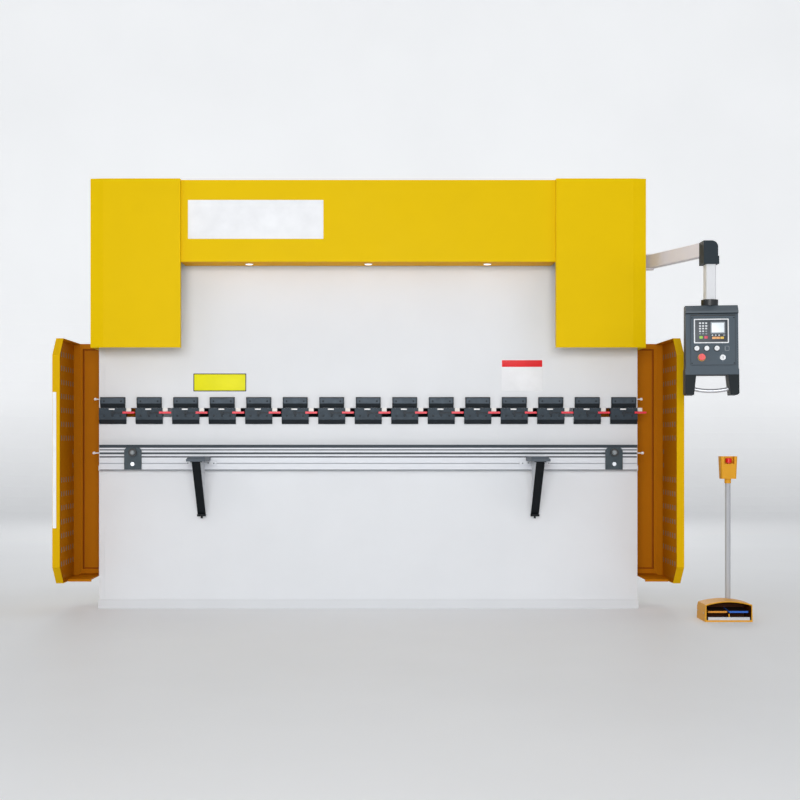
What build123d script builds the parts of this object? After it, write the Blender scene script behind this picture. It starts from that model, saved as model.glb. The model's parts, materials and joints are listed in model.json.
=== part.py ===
from build123d import *
import math
import os

# Hydraulic press brake with a torsion shaft that keeps the ram level.
# Frame: X along the bed, Y = 0 is the bending plane, Z = 0 is the floor, the operator stands at -Y.
# All sizes are in millimetres.

os.makedirs("parts", exist_ok=True)

# ---- Driving dimensions: beams and housings ----
bed_length = 3190.0
bed_thickness = 60.0
bed_top = 1133.0
sill_height = 52.0
sill_overhang = 5.5
sill_proud = 8.0
daylight = 54.0
ram_stroke = 120.0
ram_end_height = 433.0
ram_crown_height = 933.0
ram_shoulder_width = 455.0
crown_radius = 60.0
stud_reach = 25.0
stud_depth = 10.0
stud_height = 52.0
beam_end_strip = 32.0
strip_groove = 2.0
housing_set_in = 295.0
housing_plate = 40.0
housing_depth = 1060.0
housing_nose_set_back = 120.0
housing_back_slope = 330.0
housing_slope_top = 810.0
throat_depth = 320.0
throat_floor = 1000.0
throat_roof = 1440.0
throat_radius = 60.0
foot_rail_height = 30.0
foot_rail_width = 120.0
anchor_hole = 28.0
anchor_set_in = 30.0
anchor_spacing_y = 850.0

# ---- Clearances ----
slide_gap = 0.3
running_gap = 0.05

# ---- Cylinders and ram guides ----
barrel_diameter = 240.0
barrel_length = 520.0
barrel_lift = 60.0
cover_headroom = 178.0
barrel_flange = 300.0
flange_thickness = 70.0
flange_corner = 20.0
bore_spare = 20.0
rod_diameter = 120.0
rod_overlap = 60.0
rod_flange_diameter = 200.0
rod_flange_thickness = 36.0
guide_width = 130.0
guide_height = 160.0
rail_stem_width = 36.0
rail_head_width = 68.0
rail_stem_depth = 25.0
rail_head_depth = 25.0
rail_length = 300.0

# ---- Torsion shaft and its rods ----
shaft_diameter = 80.0
shaft_y = 360.0
shaft_z = 1700.0
bearing_diameter = 130.0
bearing_width = 60.0
crank_length = 250.0
crank_thickness = 30.0
crank_boss = 68.0
crank_eye = 36.0
shaft_end_gap = 4.0
link_side_gap = 2.0
pin_end = 8.0
crank_set_in = 100.0
link_pin = 30.0
link_length = 280.0
link_eye = 76.0
link_thickness = 22.0
link_width = 44.0

# ---- Covers, tank and lights ----
cover_sheet = 3.0
side_cover_gap = 1.0
side_cover_front = 269.0
side_cover_width = 514.0
side_cover_bottom = 1529.0
side_cover_back = 300.0
side_cover_return = 40.0
side_cover_bevel = 75.0
side_cover_bevel_depth = 10.0
top_cover_front = 240.0
top_cover_bottom = 2026.0
top_cover_flange = 190.0
tank_front = 160.0
tank_depth = 400.0
tank_height = 455.0
tank_overlap = 40.0
tank_corner = 18.0
tank_ribs = 4
rib_width = 16.0
rib_depth = 22.0
rib_end_gap = 30.0
shelf_lift = 60.0
shelf_length = 760.0
gusset_sheet = 10.0
gusset_end_gap = 30.0
light_pitch = 695.0
light_diameter = 48.0
light_y = -145.0
light_collar = 6.0

# ---- Punch clamps ----
clamp_count = 15
clamp_row_margin = 166.0
holder_width = 147.0
jaw_width = 160.0
clamp_reach = 20.0
holder_height = 63.5
jaw_drop = 95.5
bridge_thickness = 21.0
tang_slot = 14.0
tongue_drop = 47.0
bridge_front = 5.0
wedge_depth = 10.0
wedge_overhang = 29.0
wedge_window = 36.0
wedge_window_height = 8.5
wedge_window_drop = 3.5
wedge_window_x = -5.0
jaw_lip = 5.0
clamp_bevel = 26.0
clamp_bevel_depth = 11.0
lever_pin = 8.0
lever_pin_depth = 12.0
lever_boss = 22.0
lever_boss_height = 10.0
lever_arm_width = 9.0
lever_length = 132.0
grip_start = 61.0
grip_width = 12.0
grip_thickness = 10.0
lever_drop = 28.0

# ---- Support rail, carriages and front supports ----
rail_top = 969.0
rail_height = 153.0
rail_set_back = 11.0
rail_edge = 8.0
rail_stud_drop = 49.0
rail_depth = 50.0
rail_foot_height = 30.0
rail_foot_overhang = 6.0
slot_depth = 9.0
upper_slots = ((938.7, 7.0), (918.4, 12.0), (897.5, 8.0))
lower_slot = (859.0, 5.0)
carriage_width = 101.0
carriage_height = 129.0
carriage_top = 952.5
carriage_thickness = 12.0
carriage_corner = 22.0
carriage_key_length = 81.0
key_end_gap = 2.0
carriage_set_in = (210.0, 149.0)
knob_diameter = 48.0
knob_height = 14.0
knob_cap = 30.0
knob_cap_height = 10.0
knob_stem = 12.0
knob_z = 923.6
clamp_bolt_diameter = 23.0
clamp_bolt_height = 8.0
clamp_bolt_z = 856.0
arm_x = 980.0
arm_reach = 262.0
arm_table_top = 901.5
arm_table_thickness = 27.0
arm_table_inner = 51.0
arm_table_rear = 76.5
arm_table_front = 57.0
arm_table_bevel = 14.0
arm_table_nose = 10.0
arm_gusset = 9.5
arm_web_width = 34.0
arm_web_sheet = 4.0
arm_flange_width = 48.0
arm_flange_thickness = 8.0
arm_toe_z = 548.0
arm_toe_set_back = 5.0
arm_pad_width = 53.0
arm_pad_height = 12.0
arm_pin = 14.0
arm_pin_drop = 12.0
arm_slider_width = 176.0
arm_slider_thickness = 14.0
arm_slider_height = 26.0

# ---- Side guards ----
guard_bottom = 180.0
guard_top = 1577.0
guard_reach = 184.0
guard_flange = 42.0
guard_sheet = 2.5
guard_front = -430.0
guard_rear = 118.0
guard_corner_y = 95.0
guard_corner_z = 100.0
guard_panel_thickness = 22.0
guard_post_width = 46.0
guard_post_depth = 50.0
guard_recess = 19.0
panel_inner_margin = 40.0
panel_post_margin = 10.0
panel_foot_margin = 8.0
rear_guard_bottom = 320.0
rear_guard_top = 1430.0
rear_guard_fold = 25.0
guard_band = 32.0
notch_gap = 4.0
guard_shelf_front = -240.0
guard_shelf_z = 190.0
shelf_lip = 10.0
shelf_bed_gap = 3.0
shelf_flange_gap = 5.0
hinge_radius = 7.0
hinge_pin = 8.0
hinge_knuckle = 40.0
hinge_leaf = 38.0
hinge_heights = (450.0, 1300.0)
vent_rows = 16
vent_row_pitch = 81.0
vent_first_z = 279.0
vent_columns = 7
vent_column_pitch = 60.0
vent_rear_y = 93.0
vent_width = 22.0
vent_height = 30.0
blank_rows = (7, 8)

# ---- Back gauge ----
guide_rail_front = 380.0
guide_rail_length = 700.0
guide_rail_size = 60.0
gauge_guide_top = 1040.0
gauge_beam_size = 70.0
guide_crest = 12.0
guide_crest_half = 10.0
truck_wall = 12.0
gauge_beam_set_back = 25.0
gauge_truck_length = 120.0
gauge_truck_height = 16.0
finger_width = 60.0
finger_plate = 12.0
finger_nose = 16.0
finger_x = 620.0
finger_tip_y = 60.0

# ---- Cabinet and pump set ----
cabinet_depth = 560.0
cabinet_width = 250.0
cabinet_height = 720.0
cabinet_bottom = 780.0
cabinet_y = 480.0
cabinet_corner = 12.0
cabinet_door_margin = 30.0
cabinet_door_raise = 10.0
motor_diameter = 220.0
motor_length = 360.0
pump_diameter = 120.0
pump_length = 170.0
pump_x = 520.0
shelf_depth = 330.0
shelf_thickness = 12.0
motor_set_back = 190.0
motor_lift = 14.0
motor_fins = 12
fin_depth = 16.0
fin_width = 6.0
fan_cowl_inset = 4.0
fan_cowl_length = 46.0
motor_foot_inset = 80.0
motor_foot_height = 60.0
terminal_length = 120.0
terminal_height = 56.0
terminal_depth = 100.0
pump_flange = 164.0
pump_flange_depth = 40.0
valve_set_off = 240.0
valve_length = 140.0
valve_depth = 80.0
valve_height = 150.0

# ---- Pendant ----
pendant_pivot_reach = 65.0
pendant_pivot_y = -60.0
pendant_arm_step = (211.0, -570.0)
arm_tube_height = 75.0
arm_tube_width = 50.0
arm_tube_z = 2046.0
fork_lug = 8.0
fork_pin = 30.0
fork_plate = 8.0
fork_width = 52.0
fork_plate_half = 50.0
elbow_left = 45.0
elbow_right = 34.0
elbow_depth = 104.0
elbow_bottom = 1957.0
elbow_top = 2084.0
elbow_radius = 35.0
collar_half = 40.0
collar_height = 43.0
drop_width = 55.0
drop_depth = 75.0
drop_corner = 10.0
drop_bottom = 1765.0
neck_diameter = 92.0
neck_stem = 36.0
neck_stem_length = 50.0
box_turn = 8.6
box_lean = 4.5
box_shift = 6.0
box_width = 279.0
box_base_width = 285.0
box_front = 55.0
box_back = 65.0
box_bottom = 1350.0
box_base_height = 38.0
box_top = 1731.0
hood_drop = 48.0
hood_overhang = 16.0
hood_lip = 8.0
hood_set_back = 18.0
leg_width = 46.0
leg_root = 58.0
leg_bottom = 1242.0
leg_bevel = 8.0
panel_z = 1540.0
panel_width = 240.0
panel_height = 277.0
panel_shift = 5.0
panel_raise = 3.0
handle_diameter = 22.0
handle_lift = 37.0
handle_sag = 14.0
button_diameter = 26.0
button_travel = 4.0
button_height = 7.0
button_stem = 20.0
estop_diameter = 36.0
estop_travel = 6.0
estop_height = 16.0
estop_stem = 18.0
well_depth = 22.0
stem_depth = 14.0
button_places = (-81.0, -28.5, 25.0)
button_row = -46.5
low_row = -96.0
key_place = 56.0
key_grip = 5.0
estop_place = -55.5

# ---- Foot switch ----
pedal_reach = 381.0
pedal_width = 256.0
pedal_front = -635.0
pedal_depth = 190.0
pedal_height = 104.0
pedal_crown = 12.0
pedal_wall = 5.0
pedal_base = 10.0
pedal_shoulder = 10.0
pedal_crown_set_down = 3.0
pedal_flare = 2.0
pedal_rear_wall = 40.0
pedal_back_bevel = 24.0
pedal_step_inset = 14.0
pedal_step_depth = 12.0
pedal_step_top = 26.0
pedal_rib_width = 6.0
pedal_rib_depth = 62.0
pedal_rib_top = 44.0
treadle_width = 104.0
treadle_depth = 120.0
treadle_thickness = 10.0
treadle_height = 56.0
treadle_spacing = 116.0
treadle_pin = 8.0
treadle_pin_inset = 14.0
treadle_bend = 30.0
treadle_tip_rise = 2.0
pole_diameter = 30.0
pole_set_off = 38.0
pole_top = 755.0
pole_inset = 22.0
pole_root = 20.0
pole_neck = 36.0
head_width = 93.0
head_bottom = 780.0
head_top = 906.0
head_depth = 70.0
head_taper = (10.0, 8.0)
head_corner = 10.0
notch_depth = 42.0
notch_width = 56.0
stop_set_forward = 18.0
stop_stem = 12.0
stop_stem_length = 16.0
stop_well = 26.0
stop_cap = 34.0
stop_cap_height = 26.0
stop_bevel = 4.0

# ---- Derived places ----
bed_half = bed_thickness / 2
bed_face = -bed_half
ram_bottom = bed_top + daylight
ram_shoulder = ram_bottom + ram_end_height
ram_top = ram_bottom + ram_crown_height
bed_end = bed_length / 2
ram_crown_half = bed_end - ram_shoulder_width
housing_inner = bed_end - housing_set_in
housing_gap = 2 * housing_inner
housing_outer = housing_inner + housing_plate
housing_x = housing_inner + housing_plate / 2
crank_x = housing_inner - crank_set_in
anchor_x = housing_inner - anchor_set_in
nose_y = bed_half + housing_nose_set_back
guard_outer = bed_end + guard_reach
cover_outer = bed_end + side_cover_gap + cover_sheet
side_cover_inner = bed_end - side_cover_width
barrel_bottom = ram_shoulder + ram_stroke + barrel_lift
housing_top = barrel_bottom + barrel_length + cover_headroom
clamp_face = bed_face - clamp_reach
bridge_y = bed_face - bridge_front
tongue_front = bed_face + tang_slot - 2.0
wedge_top = ram_bottom
wedge_bottom = wedge_top - bridge_thickness + 1.0
lever_z = ram_bottom - lever_drop
rail_face = bed_face - rail_depth
rail_bottom = rail_top - rail_height
carriage_x = (carriage_set_in[0] - bed_end, bed_end - carriage_set_in[1])
pendant_pivot = (bed_end + pendant_pivot_reach, pendant_pivot_y)
pendant_axis = (pendant_pivot[0] + pendant_arm_step[0], pendant_pivot_y + pendant_arm_step[1])
pedal_x = bed_end + pedal_reach
pole_x = pedal_x + pole_set_off
clamp_pitch = (bed_length - clamp_row_margin) / (clamp_count - 1)
clamp_places = GridLocations(clamp_pitch, 1, clamp_count, 1)


def save(part, name):
    """Label a finished piece and write its STEP file."""
    part.label = name
    export_step(part, f"parts/{name}.step")


def group(*parts):
    """Several separate pieces of one node."""
    return Compound(children=[solid for part in parts for solid in part.solids()])


def box(x, y, z):
    """A plain block between pairs of limits, as a part."""
    with BuildPart() as block:
        with BuildSketch(Plane.XY.offset(z[0])):
            with Locations(((x[0] + x[1]) / 2, (y[0] + y[1]) / 2)):
                Rectangle(x[1] - x[0], y[1] - y[0])
        extrude(amount=z[1] - z[0])
    return block.part


def side_profile(points, low_x, high_x):
    """A part whose (Y, Z) outline runs along X between two limits."""
    with BuildPart() as bar:
        with BuildSketch(Plane.YZ.offset(low_x)):
            Polygon(*points, align=None)
        extrude(amount=high_x - low_x)
    return bar.part


# ---- Beams ----
def make_beam(outline, corners=()):
    """A beam plate from its (X, Z) outline, with a shallow groove beside each end."""
    with BuildPart() as beam:
        with BuildSketch(Plane.XZ.offset(-bed_half)):
            Polygon(*outline, align=None)
        extrude(amount=bed_thickness)
        if corners:
            edges = beam.edges().filter_by(Axis.Y)
            fillet([e for e in edges if round(abs(e.center().X), 1) in corners], crown_radius)
        low_z = outline[0][1]
        groove_x = bed_end - beam_end_strip
        with BuildSketch(Plane.XZ.offset(bed_half)):
            with Locations((-groove_x, low_z), (groove_x, low_z)):
                Rectangle(strip_groove, 2 * ram_end_height)
        extrude(amount=-strip_groove, mode=Mode.SUBTRACT)
    return beam.part


def make_stud(x, y, z, side):
    """A knobbed stud that stands out of a beam end."""
    stem_radius = 3.5
    knob_radius = 8.0
    knob_length = 14.0
    reach = bed_end + stud_reach - abs(x) - knob_length / 2
    with BuildPart() as stud:
        with BuildSketch(Plane.YZ.offset(x)):
            with Locations((y, z)):
                Circle(stem_radius)
        extrude(amount=side * reach)
        with BuildSketch(Plane.YZ.offset(x + side * reach)):
            with Locations((y, z)):
                RegularPolygon(knob_radius, 8)
        extrude(amount=side * knob_length)
        chamfer(stud.faces().sort_by(Axis.X)[-1 if side > 0 else 0].edges(), 3)
    return stud.part


def make_bed():
    half = bed_end
    outline = [(-half, sill_height), (half, sill_height), (half, bed_top), (-half, bed_top)]
    save(make_beam(outline), "bed_plate")


def make_feet():
    """Front sill under the bed and a foot rail with anchor holes under each housing."""
    half = bed_end + sill_overhang
    sill = box((-half, half), (bed_face - sill_proud, bed_half), (0, sill_height))
    rails = []
    for side in (-1, 1):
        centre = side * (housing_inner - foot_rail_width / 2 + housing_plate)
        limits = (centre - foot_rail_width / 2, centre + foot_rail_width / 2)
        with BuildPart() as rail:
            add(box(limits, (bed_half, bed_half + housing_depth), (0, foot_rail_height)))
            with Locations(Plane.XY.offset(foot_rail_height)):
                with Locations((side * anchor_x, bed_half + housing_depth / 2)):
                    with GridLocations(1, anchor_spacing_y, 1, 2):
                        Hole(anchor_hole / 2)
        rails.append(rail.part)
    save(group(sill, *rails), "base_feet")


def make_ram():
    half = bed_end
    crown = ram_crown_half
    outline = [
        (-half, ram_bottom),
        (half, ram_bottom),
        (half, ram_shoulder),
        (crown, ram_shoulder),
        (crown, ram_top),
        (-crown, ram_top),
        (-crown, ram_shoulder),
        (-half, ram_shoulder),
    ]
    with BuildPart() as ram:
        add(make_beam(outline, corners=(crown,)))
        for side in (-1, 1):
            add(make_stud(side * half, bed_face + stud_depth, ram_bottom + stud_height, side))
    pieces = [ram.part]
    for side in (-1, 1):
        pieces.append(make_slide_rail(side))
        pieces.append(make_link_lug(side))
    save(group(*pieces), "ram_plate")


def make_slide_rail(side):
    """T-shaped rail on the back of the ram, running in the guide of the housing."""
    x = side * housing_x
    back = bed_half + rail_stem_depth
    with BuildPart() as rail:
        with BuildSketch(Plane.XY.offset(ram_shoulder - rail_length)):
            with Locations((x, bed_half + rail_stem_depth / 2)):
                Rectangle(rail_stem_width, rail_stem_depth)
            with Locations((x, back + rail_head_depth / 2)):
                Rectangle(rail_head_width, rail_head_depth)
        extrude(amount=rail_length)
    return rail.part


def make_link_lug(side):
    """Lug on the back of the ram with the pin that the link rod hangs on."""
    root = 70.0
    eye = 26.0
    rest_drop = ram_stroke / 2
    pin_y = link_pin_y()
    pin_z = shaft_z - rest_drop - link_length
    inner = side * (crank_x - crank_thickness / 2)
    with BuildPart() as lug:
        with BuildSketch(Plane.YZ.offset(inner)):
            with BuildLine():
                Polyline((bed_half, pin_z - root), (pin_y, pin_z - eye), (pin_y, pin_z + eye))
                Polyline((pin_y, pin_z + eye), (bed_half, pin_z + root), (bed_half, pin_z - root))
            make_face()
            with Locations((pin_y, pin_z)):
                Circle(eye)
        extrude(amount=side * (crank_thickness - link_side_gap))
        with BuildSketch(Plane.YZ.offset(inner)):
            with Locations((pin_y, pin_z)):
                Circle(link_pin / 2)
        extrude(amount=side * (crank_thickness + link_thickness + pin_end))
    return lug.part


def crank_swing():
    """Half of the crank's swing over the full stroke, in radians."""
    return math.asin(ram_stroke / 2 / crank_length)


def link_pin_y():
    """The lug pin's Y, midway between the crank pin's nearest and farthest reach."""
    near = shaft_y - crank_length
    far = shaft_y - crank_length * math.cos(crank_swing())
    return (near + far) / 2


# ---- Housings ----
def make_housing(side, name):
    """C-shaped plate with the ram guide on its nose and the torsion bearing on its inner face."""
    back = bed_half + housing_depth
    slope_end = back - housing_back_slope
    throat_y = bed_half + throat_depth
    low_x = housing_inner if side > 0 else -housing_outer
    with BuildPart() as plate:
        with BuildSketch(Plane.YZ.offset(low_x)) as outline:
            with BuildLine():
                Polyline(
                    (bed_half, foot_rail_height),
                    (back, foot_rail_height),
                    (back, throat_roof),
                    (slope_end, throat_roof + housing_slope_top),
                    (slope_end, housing_top),
                    (nose_y, housing_top),
                    (nose_y, throat_roof),
                    (throat_y, throat_roof),
                    (throat_y, throat_floor),
                    (bed_half, throat_floor),
                    close=True,
                )
            make_face()
            fillet([v for v in outline.vertices() if abs(v.X - throat_y) < 1], throat_radius)
        extrude(amount=housing_plate)
    save(group(plate.part, make_guide(side), make_bearing(side)), name)


def make_guide(side):
    """Guide block with a T-slot for the ram's slide rail."""
    x = side * housing_x
    gap = slide_gap
    back = bed_half + rail_stem_depth
    with BuildPart() as guide:
        with BuildSketch(Plane.XY.offset(throat_roof)):
            with Locations((x, (bed_half + gap + nose_y) / 2)):
                Rectangle(guide_width, nose_y - bed_half - gap)
            with Locations((x, bed_half + rail_stem_depth / 2)):
                Rectangle(rail_stem_width + 2 * gap, rail_stem_depth, mode=Mode.SUBTRACT)
            with Locations((x, back + rail_head_depth / 2)):
                Rectangle(rail_head_width + 2 * gap, rail_head_depth + 2 * gap, mode=Mode.SUBTRACT)
        extrude(amount=guide_height)
    return guide.part


def make_bearing(side):
    """Bearing housing of the torsion shaft."""
    with BuildPart() as bearing:
        with BuildSketch(Plane.YZ.offset(side * housing_inner)):
            with Locations((shaft_y, shaft_z)):
                Circle(bearing_diameter / 2)
                Circle(shaft_diameter / 2 + running_gap, mode=Mode.SUBTRACT)
        extrude(amount=-side * bearing_width)
    return bearing.part


# ---- Cylinders ----
def make_barrels():
    """Cylinder barrels, each held to the nose of its housing by a square flange."""
    barrels = []
    for side in (-1, 1):
        x = side * housing_x
        with BuildPart() as barrel:
            with BuildSketch(Plane.XY.offset(barrel_bottom)):
                with Locations((x, 0)):
                    Circle(barrel_diameter / 2)
            extrude(amount=barrel_length)
            for height in (0, barrel_length - flange_thickness):
                with BuildSketch(Plane.XY.offset(barrel_bottom + height)):
                    with Locations((x, 0)):
                        RectangleRounded(barrel_flange, 2 * nose_y, flange_corner)
                extrude(amount=flange_thickness)
            with BuildSketch(Plane.XY.offset(barrel_bottom)):
                with Locations((x, 0)):
                    Circle(rod_diameter / 2 + running_gap)
            extrude(amount=ram_stroke + rod_overlap + bore_spare, mode=Mode.SUBTRACT)
        barrels.append(barrel.part)
    save(group(*barrels), "cylinder_barrels")


def make_rods():
    """Piston rods, each with the flange that is bolted on the ram's shoulder."""
    rod_length = ram_stroke + barrel_lift + rod_overlap
    rods = []
    for side in (-1, 1):
        with BuildPart() as rod:
            with BuildSketch(Plane.XY.offset(ram_shoulder)):
                with Locations((side * housing_x, 0)):
                    Circle(rod_flange_diameter / 2)
                    Rectangle(rod_flange_diameter, bed_thickness, mode=Mode.INTERSECT)
            extrude(amount=rod_flange_thickness)
            with BuildSketch(Plane.XY.offset(ram_shoulder)):
                with Locations((side * housing_x, 0)):
                    Circle(rod_diameter / 2)
            extrude(amount=rod_length)
        rods.append(rod.part)
    save(group(*rods), "piston_rods")


# ---- Torsion shaft ----
def make_torsion():
    """Shaft with a crank at each end; each crank's pin carries a link rod down to the ram."""
    swing = crank_swing()
    pin_y = shaft_y - crank_length * math.cos(swing)
    pin_z = shaft_z - crank_length * math.sin(swing)
    shaft_half = housing_inner - shaft_end_gap
    with BuildPart() as shaft:
        with BuildSketch(Plane.YZ.offset(-shaft_half)):
            with Locations((shaft_y, shaft_z)):
                Circle(shaft_diameter / 2)
        extrude(amount=2 * shaft_half)
        for side in (-1, 1):
            inner = side * (crank_x - crank_thickness / 2)
            with BuildSketch(Plane.YZ.offset(inner)):
                with BuildLine():
                    boss = crank_boss
                    eye = crank_eye
                    turn = math.degrees(math.asin((boss - eye) / crank_length))
                    lean = math.degrees(swing)
                    up = 90 + lean - turn
                    down = -90 + lean + turn
                    CenterArc((shaft_y, shaft_z), boss, down, up - down)
                    a = (shaft_y + boss * cosd(up), shaft_z + boss * sind(up))
                    b = (pin_y + eye * cosd(up), pin_z + eye * sind(up))
                    c = (pin_y + eye * cosd(down), pin_z + eye * sind(down))
                    d = (shaft_y + boss * cosd(down), shaft_z + boss * sind(down))
                    Line(a, b)
                    CenterArc((pin_y, pin_z), eye, up, 360 - (up - down))
                    Line(c, d)
                make_face()
            extrude(amount=side * crank_thickness)
            with BuildSketch(Plane.YZ.offset(inner)):
                with Locations((pin_y, pin_z)):
                    Circle(link_pin / 2)
            extrude(amount=side * (crank_thickness + link_thickness + pin_end))
    save(shaft.part, "torsion_shaft")
    for side, name in ((-1, "sync_rod_left"), (1, "sync_rod_right")):
        make_link(side, name, pin_y, pin_z)


def cosd(angle):
    return math.cos(math.radians(angle))


def sind(angle):
    return math.sin(math.radians(angle))


def make_link(side, name, pin_y, pin_z):
    """Link rod with a close eye on the crank pin and a wide eye on the ram's pin."""
    sway = crank_length * (1 - math.cos(crank_swing())) / 2
    low_z = pin_z - link_length
    inner = side * (crank_x + crank_thickness / 2 + link_side_gap + 1)
    with BuildPart() as link:
        with BuildSketch(Plane.YZ.offset(inner)):
            with Locations((pin_y, (pin_z + low_z) / 2)):
                Rectangle(link_width, link_length)
            with Locations((pin_y, pin_z), (pin_y, low_z)):
                Circle(link_eye / 2)
            with Locations((pin_y, pin_z)):
                Circle(link_pin / 2 + running_gap, mode=Mode.SUBTRACT)
            with Locations((pin_y, low_z)):
                Circle(link_pin / 2 + sway + 2 * slide_gap, mode=Mode.SUBTRACT)
        extrude(amount=side * link_thickness)
    save(link.part, name)


# ---- Covers ----
def make_side_cover(side, name):
    """Sheet cover of one cylinder: front with a shallow bevel, outer side, top and inner return."""
    outer = cover_outer
    top = housing_top + cover_sheet
    bevel_x = outer - side_cover_bevel
    bevel_y = -side_cover_front + side_cover_bevel_depth
    with BuildPart() as cover:
        with BuildSketch(Plane.XY.offset(side_cover_bottom)):
            with BuildLine():
                Polyline(
                    (side_cover_inner, side_cover_back),
                    (side_cover_inner, -side_cover_front),
                    (bevel_x, -side_cover_front),
                    (outer, bevel_y),
                    (outer, side_cover_back),
                    close=True,
                )
            make_face()
        extrude(amount=top - side_cover_bottom)
        with BuildSketch(Plane.XY.offset(side_cover_bottom)):
            with BuildLine():
                Polyline(
                    (side_cover_inner + cover_sheet, side_cover_back),
                    (side_cover_inner + cover_sheet, -side_cover_front + cover_sheet),
                    (bevel_x, -side_cover_front + cover_sheet),
                    (outer - cover_sheet, bevel_y + cover_sheet),
                    (outer - cover_sheet, side_cover_back),
                    close=True,
                )
            make_face()
        extrude(amount=housing_top - side_cover_bottom, mode=Mode.SUBTRACT)
        return_back = -side_cover_front + side_cover_return
        with BuildSketch(Plane.XY.offset(side_cover_bottom)):
            with Locations((side_cover_inner + cover_sheet / 2, (return_back + side_cover_back) / 2)):
                Rectangle(cover_sheet, side_cover_back - return_back)
        extrude(amount=housing_top - side_cover_bottom, mode=Mode.SUBTRACT)
    piece = cover.part if side > 0 else cover.part.mirror(Plane.YZ)
    save(piece, name)


def make_top_cover():
    """Sheet cover between the side covers: front, top resting on the tank and bottom flange."""
    top = housing_top
    front = -top_cover_front
    back = tank_front + tank_overlap
    flange_back = front + top_cover_flange
    t = cover_sheet
    outline = [
        (front, top_cover_bottom),
        (flange_back, top_cover_bottom),
        (flange_back, top_cover_bottom + 25),
        (flange_back - t, top_cover_bottom + 25),
        (flange_back - t, top_cover_bottom + t),
        (front + t, top_cover_bottom + t),
        (front + t, top - t),
        (back, top - t),
        (back, top),
        (front, top),
    ]
    with BuildPart() as cover:
        add(side_profile(outline, -side_cover_inner, side_cover_inner))
        with Locations(Plane.XY.offset(top_cover_bottom + t)):
            with Locations((0, light_y)):
                with GridLocations(light_pitch, 1, 3, 1):
                    Hole(light_diameter / 2 + slide_gap, depth=2 * t)
    save(cover.part, "top_cover")


def make_lights():
    """Three round lamps hanging by their collars in the top cover's flange."""
    seat = top_cover_bottom + cover_sheet
    with BuildPart() as lights:
        with Locations((0, light_y)):
            with GridLocations(light_pitch, 1, 3, 1):
                with Locations((0, 0, seat)):
                    up = (Align.CENTER, Align.CENTER, Align.MIN)
                    Cylinder(light_diameter / 2 + light_collar, light_collar, align=up)
                    down = (Align.CENTER, Align.CENTER, Align.MAX)
                    Cylinder(light_diameter / 2, 2 * cover_sheet, align=down)
    save(lights.part, "work_lights")


def make_tank():
    """Tank beam between the housings, with ribs, a filler neck and the pump shelf behind it."""
    top = housing_top - cover_sheet
    bottom = top - tank_height
    back = tank_front + tank_depth
    with BuildPart() as tank:
        with BuildSketch(Plane.YZ.offset(-housing_inner)):
            with Locations(((tank_front + back) / 2, (top + bottom) / 2)):
                RectangleRounded(tank_depth, tank_height, tank_corner)
        extrude(amount=housing_gap)
        with BuildSketch(Plane.XZ.offset(-back)):
            with Locations((0, (top + bottom) / 2)):
                with GridLocations(housing_gap / (tank_ribs + 1), 1, tank_ribs, 1):
                    Rectangle(rib_width, tank_height - 2 * rib_end_gap)
        extrude(amount=-rib_depth)
        shelf_low = bottom + shelf_lift
        shelf_x = pump_x + motor_length / 4
        with BuildSketch(Plane.XY.offset(shelf_low)):
            with Locations((shelf_x, back + shelf_depth / 2)):
                Rectangle(shelf_length, shelf_depth)
        extrude(amount=shelf_thickness)
        gusset_back = back + shelf_depth - gusset_end_gap
        gusset = [(back, shelf_low), (gusset_back, shelf_low), (back, bottom + gusset_sheet)]
        for side in (-1, 1):
            x = shelf_x + side * (shelf_length / 2 - gusset_sheet)
            add(side_profile(gusset, x - gusset_sheet / 2, x + gusset_sheet / 2))
    save(tank.part, "oil_tank")


def make_pump():
    """Electric motor and pump along X, and the valve block, standing on the tank's shelf."""
    shelf_top = housing_top - cover_sheet - tank_height + shelf_lift + shelf_thickness
    tank_back = tank_front + tank_depth
    y = tank_back + motor_set_back
    axis_z = shelf_top + motor_diameter / 2 + motor_lift
    with BuildPart() as motor:
        with BuildSketch(Plane.YZ.offset(pump_x)):
            with Locations((y, axis_z)):
                Circle(motor_diameter / 2)
                with PolarLocations(motor_diameter / 2, motor_fins, start_angle=15):
                    Rectangle(fin_depth, fin_width)
        extrude(amount=motor_length)
        with BuildSketch(Plane.YZ.offset(pump_x + motor_length)):
            with Locations((y, axis_z)):
                Circle(motor_diameter / 2 - fan_cowl_inset)
        extrude(amount=fan_cowl_length)
        with BuildSketch(Plane.XY.offset(shelf_top)):
            with Locations((pump_x + motor_length / 2, y)):
                Rectangle(motor_length - motor_foot_inset, motor_diameter - motor_foot_inset / 2)
        extrude(amount=motor_foot_height)
        with BuildSketch(Plane.XZ.offset(-y)):
            with Locations((pump_x + motor_length / 3, axis_z + motor_diameter / 2)):
                Rectangle(terminal_length, terminal_height)
        extrude(amount=terminal_depth / 2, both=True)
    with BuildPart() as pump:
        with BuildSketch(Plane.YZ.offset(pump_x)):
            with Locations((y, axis_z)):
                Circle(pump_flange / 2)
        extrude(amount=-pump_flange_depth)
        with BuildSketch(Plane.YZ.offset(pump_x - pump_flange_depth)):
            with Locations((y, axis_z)):
                Circle(pump_diameter / 2)
        extrude(amount=-pump_length)
    block_x = (pump_x - valve_set_off, pump_x - valve_set_off + valve_length)
    block = box(block_x, (tank_back, tank_back + valve_depth), (shelf_top, shelf_top + valve_height))
    save(group(motor.part, pump.part, block), "pump_motor")


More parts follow.
